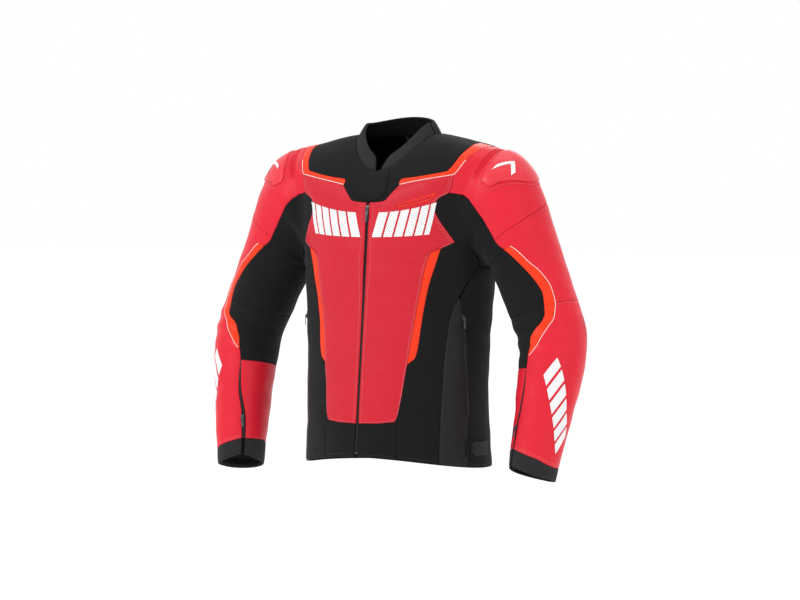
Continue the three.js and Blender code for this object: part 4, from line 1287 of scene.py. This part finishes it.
for side, tag in SIDES:
    points, normals = zip_line(ZIP_TOP + 6, ZIP_BOTTOM, 0)
    tape = strip(points, normals, 0.5 * side, 16 * side, 5.6, 1.0)
    part(f"zip_tape_{tag}", [tape], TAPE, "torso", side, tag, "zip_tape",
         [f"zip_stringer_{tag}"])
    at, across, ahead, out = frame_along(points, normals, TOOTH_PITCH)
    shift = 0.5 * TOOTH_PITCH if side == RIGHT else 0.0
    tooth = block_mesh((2.5, 1.35, 2.4), 0.35)
    rows = [placed(tooth, at[k] + across[k] * 1.2 * side + ahead[k] * shift - out[k] * 2.6,
                   across[k], ahead[k], out[k]) for k in range(len(at) - 1)]
    part(f"zip_teeth_{tag}", rows, TEETH, "torso", side, tag, "zip_metal")
    welt_line, welt_normal = chest_faces[tag].line("left", 1)
    cord = piping(f"zip_edge_{tag}", (welt_line, welt_normal), RED_DARKER, 0.9, -0.2)
    attach(cord, "torso")

zip_across = np.array([1.0, 0, 0])
zip_out = np.array([0, -1.0, ZIP_LEAN]) / math.hypot(1, ZIP_LEAN)
zip_up = np.cross(zip_out, zip_across)
zip_head = np.array([0, ZIP_TOP_Y, ZIP_TOP])
part("zip_slider_body", slider_parts(zip_head - zip_out * 0.2, zip_across, zip_up, zip_out),
     METAL, "zip_slider", slot="zip_metal", nodes=["zip_slider"])
part("zip_puller_body",
     puller_parts(zip_head + zip_out * 3.1 - zip_up * 4.0, zip_across, zip_up, zip_out, 6.0, 29.0),
     METAL, "zip_puller", slot="zip_metal", nodes=["zip_puller"])
stop = block_mesh((7.0, 3.0, 3.2), 0.6)
part("zip_bottom_stop", [placed(stop, np.array([0, ZIP_TOP_Y - ZIP_LEAN * (ZIP_TOP - ZIP_BOTTOM)
                                                 + 3.0, ZIP_BOTTOM]),
                                zip_across, zip_up, zip_out)], METAL, "torso", slot="zip_metal")


def small_slider(name, node, rides, place, target, normal):
    """A short slider with its puller hanging from it, on both sides of the jacket."""
    down = (target - place) / np.linalg.norm(target - place)
    out = normal - down * (normal @ down)
    out /= np.linalg.norm(out)
    up = -down
    across = np.cross(up, out)
    parts = slider_parts(place + out * 1.2, across, up, out, 7.6, 11.0)
    parts += puller_parts(place + out * 4.2 - up * 6.0, across, up, out, 5.0, 19.0, 1.2)
    verts, faces = merged(parts)
    for side, tag in SIDES:
        part(f"{name}_{tag}", [(flip(verts, side), faces)], METAL, f"{rides}_{tag}", side, tag,
             "zip_metal", [f"{node}_{tag}"])


def surface_normal(surface, u, v, du, dv):
    n = np.cross(surface(u + du, v) - surface(u - du, v), surface(u, v + dv) - surface(u, v - dv))
    return n / np.linalg.norm(n)


small_slider("pocket_slider_body", "pocket_slider", "pocket_slider", body(66, -326),
             body(71, -505), surface_normal(body, 66, -326, 0.4, 0.4))
small_slider("cuff_slider_body", "cuff_slider", "cuff_slider", sleeve(122, 7.55),
             sleeve(125, 7.9), surface_normal(sleeve, 123, 7.7, 0.8, 0.02))

# Pocket zips: two narrow lips either side of a row of teeth, along the side leather's seam.
POCKET_TOP = -322
POCKET_LOW = -512
pocket_line = edge([(65.9, POCKET_TOP), (67, -350), (69, -420), (71.6, POCKET_LOW)])
for aside, word in ((-1.15, "front"), (1.15, "rear")):
    near = pocket_line + np.array([0.22 * np.sign(aside), 0])
    far = pocket_line + np.array([aside + 0.22 * np.sign(aside), 0])
    sides = (near, far) if aside > 0 else (far, near)
    one, other = (line[::-1] for line in sides)
    lip = body_panel([one[0], other[0]], [one[-1], other[-1]], one, other, FINE)
    pair(f"pocket_lip_{word}", lip, BLACK_LEATHER, slot="black_leather", lift=1.6,
         thickness=1.6, roll=0.8, puff=0.2)
pocket_points = on_body(pocket_line)
pocket_normals = np.array([surface_normal(body, t, h, 0.4, 0.4) for t, h in pocket_line])
for side, tag in SIDES:
    points = flip(pocket_points, side)
    normals = flip(pocket_normals, side)
    stand = folds(points)[:, None] * normals
    part(f"pocket_teeth_{tag}", teeth_mesh(points + stand, normals, -0.4), TEETH, "torso",
         side, tag, "zip_metal")

# Cuff zips: tape and teeth in the slit of the forearm.
cuff_tape = sleeve_panel([(113.6, FABRIC_END), (114.4, FABRIC_END)],
                         [(124.5, 8.2), (133.5, 8.2)], CUFF_ZIP_OUT, CUFF_ZIP_IN, FINE)
pair("cuff_zip_tape", cuff_tape, TAPE, rides="forearm_", slot="zip_tape", lift=-1.6,
     thickness=0.9, roll=0.3, puff=0.0)
cuff_line = (CUFF_ZIP_OUT + CUFF_ZIP_IN) / 2
cuff_points = on_sleeve(cuff_line)
cuff_normals = np.array([surface_normal(sleeve, psi, s, 0.8, 0.02) for psi, s in cuff_line])
for side, tag in SIDES:
    points = flip(cuff_points, side)
    normals = flip(cuff_normals, side)
    stand = folds(points)[:, None] * normals
    part(f"cuff_teeth_{tag}", teeth_mesh(points + stand, normals, 0.9), TEETH,
         f"forearm_{tag}", side, tag, "zip_metal")

# The wide zip inside the back hem that joins riding trousers.
trouser_zip = body_panel([(150, -590), (180, -590), (210, -590)],
                         [(150, -562), (180, -562), (210, -562)],
                         [(150, -590), (150, -562)], [(210, -590), (210, -562)])
centre_panel("connection_zip_tape", trouser_zip, TAPE, "zip_tape", ["connection_zip"],
             lift=-14.0, thickness=1.2, roll=0.4, puff=0.0, bumpy=0)
turn = np.linspace(150, 210, 160)
points = body(turn, np.full(160, -589.0))
normals = np.array([surface_normal(body, t, -589.0, 0.4, 0.4) for t in turn])
part("connection_zip_teeth", teeth_mesh(points - normals * 16.4, -normals, -0.2, (2.2, 1.3, 1.6)),
     TEETH, "torso", slot="zip_metal")

# ---- waist adjusters ----------------------------------------------------------------------

loop_patch = body_panel([(70, -586), (97, -586)], [(70, -552), (97, -552)],
                        [(70, -586), (70, -552)], [(97, -586), (97, -552)], FINE)
pair("waist_loop_patch", loop_patch, HOOKS, slot="black_fabric", lift=1.4, thickness=1.0,
     roll=0.5, puff=0.1)
strap = body_panel([(76, -582), (92, -582)], [(76, -556), (92, -556)],
                   [(76, -582), (74, -576), (73.6, -569), (74, -562), (76, -556)],
                   [(92, -582), (92, -556)], FINE)
faces = pair("waist_strap", strap, BLACK_LEATHER, rides="waist_tab_", slot="black_leather",
             nodes=["waist_tab"], thickness=2.2, lift=4.4, roll=1.0, puff=0.5)
sew("waist_strap_stitches", faces, [(one, STITCH_LINE) for one in ALL_EDGES], THREAD_BLACK,
    rides="waist_tab_")

# ---- shoulder sliders and pleats ----------------------------------------------------------

slider_grid = sleeve_panel(
    [(-8, 0.05), (6, 0.02), (40, 0.02), (56, 0.06)],
    [(-14, 0.93), (6, 0.98), (24, 0.9), (48, 0.6), (55, 0.5)],
    [(-8, 0.05), (-19, 0.2), (-23, 0.55), (-20, 0.85), (-14, 0.93)],
    [(56, 0.06), (61, 0.12), (62, 0.3), (60, 0.45), (55, 0.5)], FINE)
pair("shoulder_shell", slider_grid, SLIDER, rides="shoulder", slot="slider_shell",
     nodes=["shoulder_slider"], thickness=5.0, lift=4.6, roll=2.4, crown=1.4)
base_grid = sleeve_panel(
    [(-12, 0.0), (4, -0.04), (42, -0.04), (60, 0.0)],
    [(-18, 1.0), (6, 1.06), (26, 0.97), (52, 0.66), (60, 0.56)],
    [(-12, 0.0), (-24, 0.18), (-28, 0.55), (-25, 0.9), (-18, 1.0)],
    [(60, 0.0), (66, 0.1), (67, 0.3), (65, 0.48), (60, 0.56)], FINE)
faces = pair("shoulder_shell_base", base_grid, RED_SMOOTH, rides="shoulder", slot="red_leather",
             lift=1.3, thickness=1.4, roll=1.2, puff=0.2)
sew("shoulder_base_stitches", faces, [(one, BASE_LINE) for one in ALL_EDGES],
    THREAD_PALE, rides="shoulder")
for k in range(3):
    ring = -0.16 - 0.075 * k
    rib = edge([(62, ring), (40, ring), (10, ring), (-12, ring)])
    rib_points = settle(on_sleeve(rib))
    rib_normals = np.array([surface_normal(sleeve, psi, s, 0.8, 0.02) for psi, s in rib])
    for side, tag in SIDES:
        points = flip(rib_points, side)
        stand = (folds(points)[:, None] + 0.6) * flip(rib_normals, side)
        size = 2.0 * np.sin(np.linspace(0.15, math.pi - 0.15, len(points))) ** 0.35
        verts, quads = tube_mesh(points + stand, flip(rib_normals, side), size, 10)
        part(f"shoulder_pleat_{k + 1}_{tag}", [(verts, quads)], RED_SMOOTH, "shoulder", side,
             tag, "red_leather")

# ---- prints: plain slanted blocks ---------------------------------------------------------


def print_patch(surface, corners, cell=2.6):
    """A grid for a print with four corners: low left, low right, high right, high left."""
    a, b, c, d = corners
    build = body_panel if surface is body else sleeve_panel
    return build(edge([a, b]), edge([d, c]), edge([a, d]), edge([b, c]), cell)


def printed(name, surface, shapes, material, rides, lift=0.95, cell=2.6, sides=SIDES):
    """Thin printed shapes that follow a panel, as one piece on each side."""
    for side, tag in sides:
        made = []
        for corners in shapes:
            grid, where = print_patch(surface, corners, cell)
            points = flip(grid, side)
            normals = grid_normals(points) * side
            stand = (folds(points) + lift)[..., None] * normals
            base = (folds(points) + lift - 0.5)[..., None] * normals
            verts, quads = shell(points + stand, points + base, *grid.shape[:2])
            if side == RIGHT:
                quads = quads[:, ::-1]
            made.append((verts, quads.tolist(), np.tile(where.reshape(-1, 2), (2, 1))))
        verts, quads = merged([one[:2] for one in made])
        uv = np.vstack([one[2] for one in made])
        thing = add(f"{name}_{tag}", verts, quads, material, uv)
        body_name = rides + tag if rides.endswith("_") else rides
        attach(thing, body_name)


def slanted(left, right, low, high, slant):
    """A block leaning by slant degrees between two levels."""
    return [(left, low), (right, low), (right + slant, high), (left + slant, high)]


CHEST_BLOCKS = ((2.6, 7.4), (8.6, 13.4), (14.6, 19.4), (20.6, 25.4), (26.6, 31.4), (32.6, 36.0))
PRINT_LOW = -172
PRINT_HIGH = -124
printed("chest_print", body,
        [slanted(a, b, PRINT_LOW, PRINT_HIGH, 2.6) for a, b in CHEST_BLOCKS],
        WHITE_PRINT, "torso", cell=3.0)
printed("small_print", body,
        [slanted(15.0, 34.0, -117.5, -115.6, 0.6), slanted(18.5, 36.5, -111.0, -109.4, 0.6),
         slanted(15.0, 15.9, -115.6, -111.5, 2.6), slanted(34.0, 34.9, -115.6, -109.4, 2.0)],
        ORANGE_LEATHER, "torso", cell=3.0, sides=SIDES[:1])


def along_arm(share, aside):
    """A point of the forearm print's band: share down it, aside across it."""
    start = np.array([66.0, 6.0])
    end = np.array([6.0, 7.86])
    return tuple(start + (end - start) * share + np.array([0.9, 0.016]) * aside)


ARM_BLOCKS = ((0.0, 0.13), (0.17, 0.30), (0.34, 0.47), (0.51, 0.64), (0.68, 0.81), (0.85, 0.98))
printed("forearm_print", sleeve,
        [[along_arm(a, -13), along_arm(a + 0.05, 13), along_arm(b + 0.05, 13), along_arm(b, -13)]
         for a, b in ARM_BLOCKS],
        WHITE_SMOOTH, "elbow")
printed("shoulder_chevron", sleeve,
        [[(38, 0.2), (45, 0.2), (25, 0.42), (18, 0.42)], [(18, 0.42), (25, 0.42), (36, 0.64),
                                                        (29, 0.64)]],
        WHITE_SMOOTH, "shoulder", lift=6.9)
printed("forearm_vents", sleeve,
        [[(-42, 4.55), (-4, 4.5), (-10, 5.05), (-38, 5.1)]], RED_PERFORATED, "elbow",
        lift=0.85)

# ---- inside the jacket --------------------------------------------------------------------

ALL_ROUND = [(8, 0), (97, 0), (180, 0), (263, 0), (352, 0)]


def ringed(level):
    return edge([(t, level) for t, _ in ALL_ROUND])


lining_grid, where = patch(body, ringed(-597), ringed(-46), [(8, -597), (8, -46)],
                           [(352, -597), (352, -46)], 7.0)
thing, face = panel("torso_lining_mesh", lining_grid, where * LINING_WEAVE, LINING, lift=-6.8,
                    thickness=0.9, roll=0.3, puff=0.0)
bm = bmesh.new()
bm.from_mesh(thing.data)
inside = []
for f in bm.faces:
    middle = f.calc_center_median() / METRES
    middle.x = abs(middle.x)
    if middle.x > 150 and signed(SLEEVE_TREE, middle)[0] < -9:
        inside.append(f)
bmesh.ops.delete(bm, geom=inside, context="FACES")
open_edges = [e for e in bm.edges if e.is_boundary]
if open_edges:
    bmesh.ops.bridge_loops(bm, edges=open_edges)
bm.to_mesh(thing.data)
bm.free()
attach(thing, "torso", replaces=["torso_lining"])

yoke_lining = collar_panel([(7, 0.0), (90, 0.0), (180, 0.0), (270, 0.0), (353, 0.0)],
                           [(22, 0.93), (90, 0.93), (180, 0.93), (270, 0.93), (338, 0.93)],
                           [(7, 0.0), (22, 0.93)], [(353, 0.0), (338, 0.93)])
centre_panel("collar_lining_mesh", yoke_lining, LINING, "lining_mesh", [], lift=-4.5,
             thickness=0.9, roll=0.3, puff=0.0, bumpy=0.35)

for word, first, last, rides in (("upper", 0.9, UPPER_END, "shoulder"),
                                 ("lower", UPPER_END, 8.86, "elbow")):
    grid, where = patch(sleeve, [(BACK_PSI, first), (55, first), (INNER_PSI, first)],
                        [(BACK_PSI, last), (55, last), (INNER_PSI, last)],
                        [(BACK_PSI, first), (BACK_PSI, last)],
                        [(INNER_PSI, first), (INNER_PSI, last)], 6.5)
    pair(f"sleeve_lining_{word}", (grid, where * SLEEVE_WEAVE), LINING, rides=rides,
         slot="lining_mesh", lift=-4.6, thickness=0.9, roll=0.2, puff=0.0)

protector = body_panel([(164, -490), (180, -496), (196, -490)],
                       [(160, -150), (180, -145), (200, -150)],
                       [(164, -490), (154, -330), (154, -230), (160, -150)],
                       [(196, -490), (206, -330), (206, -230), (200, -150)], 5.0)
face = centre_panel("back_protector_pad", protector, FOAM, "armour_foam", ["back_protector"],
                    lift=-15.0, thickness=9.6, roll=3.0, puff=0.0, bumpy=0)
pocket = body_panel([(160, -516), (180, -522), (200, -516)],
                    [(155, -126), (180, -122), (205, -126)],
                    [(160, -516), (147, -330), (147, -230), (155, -126)],
                    [(200, -516), (213, -330), (213, -230), (205, -126)], 6.0)
centre_panel("protector_pocket_mesh", pocket, LINING, "lining_mesh", [], lift=-9.6,
             thickness=0.9, roll=0.3, puff=-17.5, bumpy=0)

elbow_pad = sleeve_panel([(-103, 4.78), (-12, 4.78)], [(-93, 6.45), (-22, 6.45)],
                         [(-103, 4.78), (-110, 5.6), (-93, 6.45)],
                         [(-12, 4.78), (-5, 5.6), (-22, 6.45)], 4.0)
for side, tag in SIDES:
    thing, face = panel(f"elbow_pad_{tag}", *elbow_pad, FOAM, side, lift=-11.0, thickness=7.6,
                        roll=2.6, puff=0.0, bumpy=0)
    attach(thing, f"forearm_{tag}", [f"elbow_armour_{tag}"])

loop_turn = np.linspace(-1, 1, 41)
loop_across = 21 * np.sin(loop_turn * math.pi / 2)
loop_drop = -9 * np.cos(loop_turn * math.pi / 2)
loop_points = np.stack([loop_across, np.full(41, 63.0), 27 + loop_drop], -1)
loop_normals = np.tile(np.array([0.0, -1.0, 0.0]), (41, 1))
verts, quads = tube_mesh(loop_points, loop_normals, np.full(41, 2.6), 10, squash=0.3)
part("hanger_loop", [(verts, quads)], TAPE, "torso", slot="zip_tape")

# ---- lights, floor and camera ---------------------------------------------------------------


def aim(thing, target):
    toward = Vector(target) - thing.location
    thing.rotation_euler = toward.to_track_quat("-Z", "Y").to_euler()


def area_light(name, place, target, size, watts):
    data = bpy.data.lights.new(name, "AREA")
    data.shape = "RECTANGLE"
    data.size = size[0]
    data.size_y = size[1]
    data.energy = watts
    lamp = bpy.data.objects.new(name, data)
    lamp.location = place
    bpy.context.collection.objects.link(lamp)
    aim(lamp, target)
    return lamp


MIDDLE = (0, 0, -0.300)
AZIMUTH = math.radians(30)
ELEVATION = math.radians(2)
DISTANCE = 8.0
toward_camera = Vector((math.sin(AZIMUTH) * math.cos(ELEVATION),
                        -math.cos(AZIMUTH) * math.cos(ELEVATION), math.sin(ELEVATION)))
camera_data = bpy.data.cameras.new("photo_camera")
camera_data.lens = 180
camera_data.sensor_width = 36
camera = bpy.data.objects.new("photo_camera", camera_data)
camera.location = Vector(MIDDLE) + toward_camera * DISTANCE
bpy.context.collection.objects.link(camera)
aim(camera, MIDDLE)
bpy.context.scene.camera = camera

area_light("key_light", (-1.6, -3.2, 2.0), (0, 0, -0.2), (2.0, 2.0), 52)
area_light("fill_light", (3.4, -1.6, 0.8), (0, 0, -0.3), (2.2, 2.6), 14)
area_light("top_light", (0.3, 0.4, 3.0), (0, 0, -0.2), (2.6, 2.6), 20)
area_light("back_light", (-1.0, 3.0, 1.2), (0, 0, -0.2), (2.2, 2.2), 16)

bpy.context.scene.view_settings.view_transform = "Standard"
world = bpy.data.worlds.new("studio")
world.use_nodes = True
world.node_tree.nodes["Background"].inputs["Color"].default_value = (1, 1, 1, 1)
world.node_tree.nodes["Background"].inputs["Strength"].default_value = 1.0
bpy.context.scene.world = world

FLOOR_LEVEL = -0.95
FLOOR_GLOW = 0.16           # lifts the floor to the backdrop's white
floor_mesh = bpy.data.meshes.new("studio_floor")
reach = 30.0
floor_mesh.from_pydata(
    [(-reach, -reach, FLOOR_LEVEL), (reach, -reach, FLOOR_LEVEL),
     (reach, reach, FLOOR_LEVEL), (-reach, reach, FLOOR_LEVEL)], [], [(0, 1, 2, 3)])
floor_finish = plain("pale_floor", (0.86, 0.86, 0.86), 0.9, scale=2.0, spread=0.01)
floor_inputs = floor_finish.node_tree.nodes["Principled BSDF"].inputs
floor_inputs["Emission Color"].default_value = (1, 1, 1, 1)
floor_inputs["Emission Strength"].default_value = FLOOR_GLOW
floor_mesh.materials.append(floor_finish)
studio_floor = bpy.data.objects.new("studio_floor", floor_mesh)
bpy.context.collection.objects.link(studio_floor)
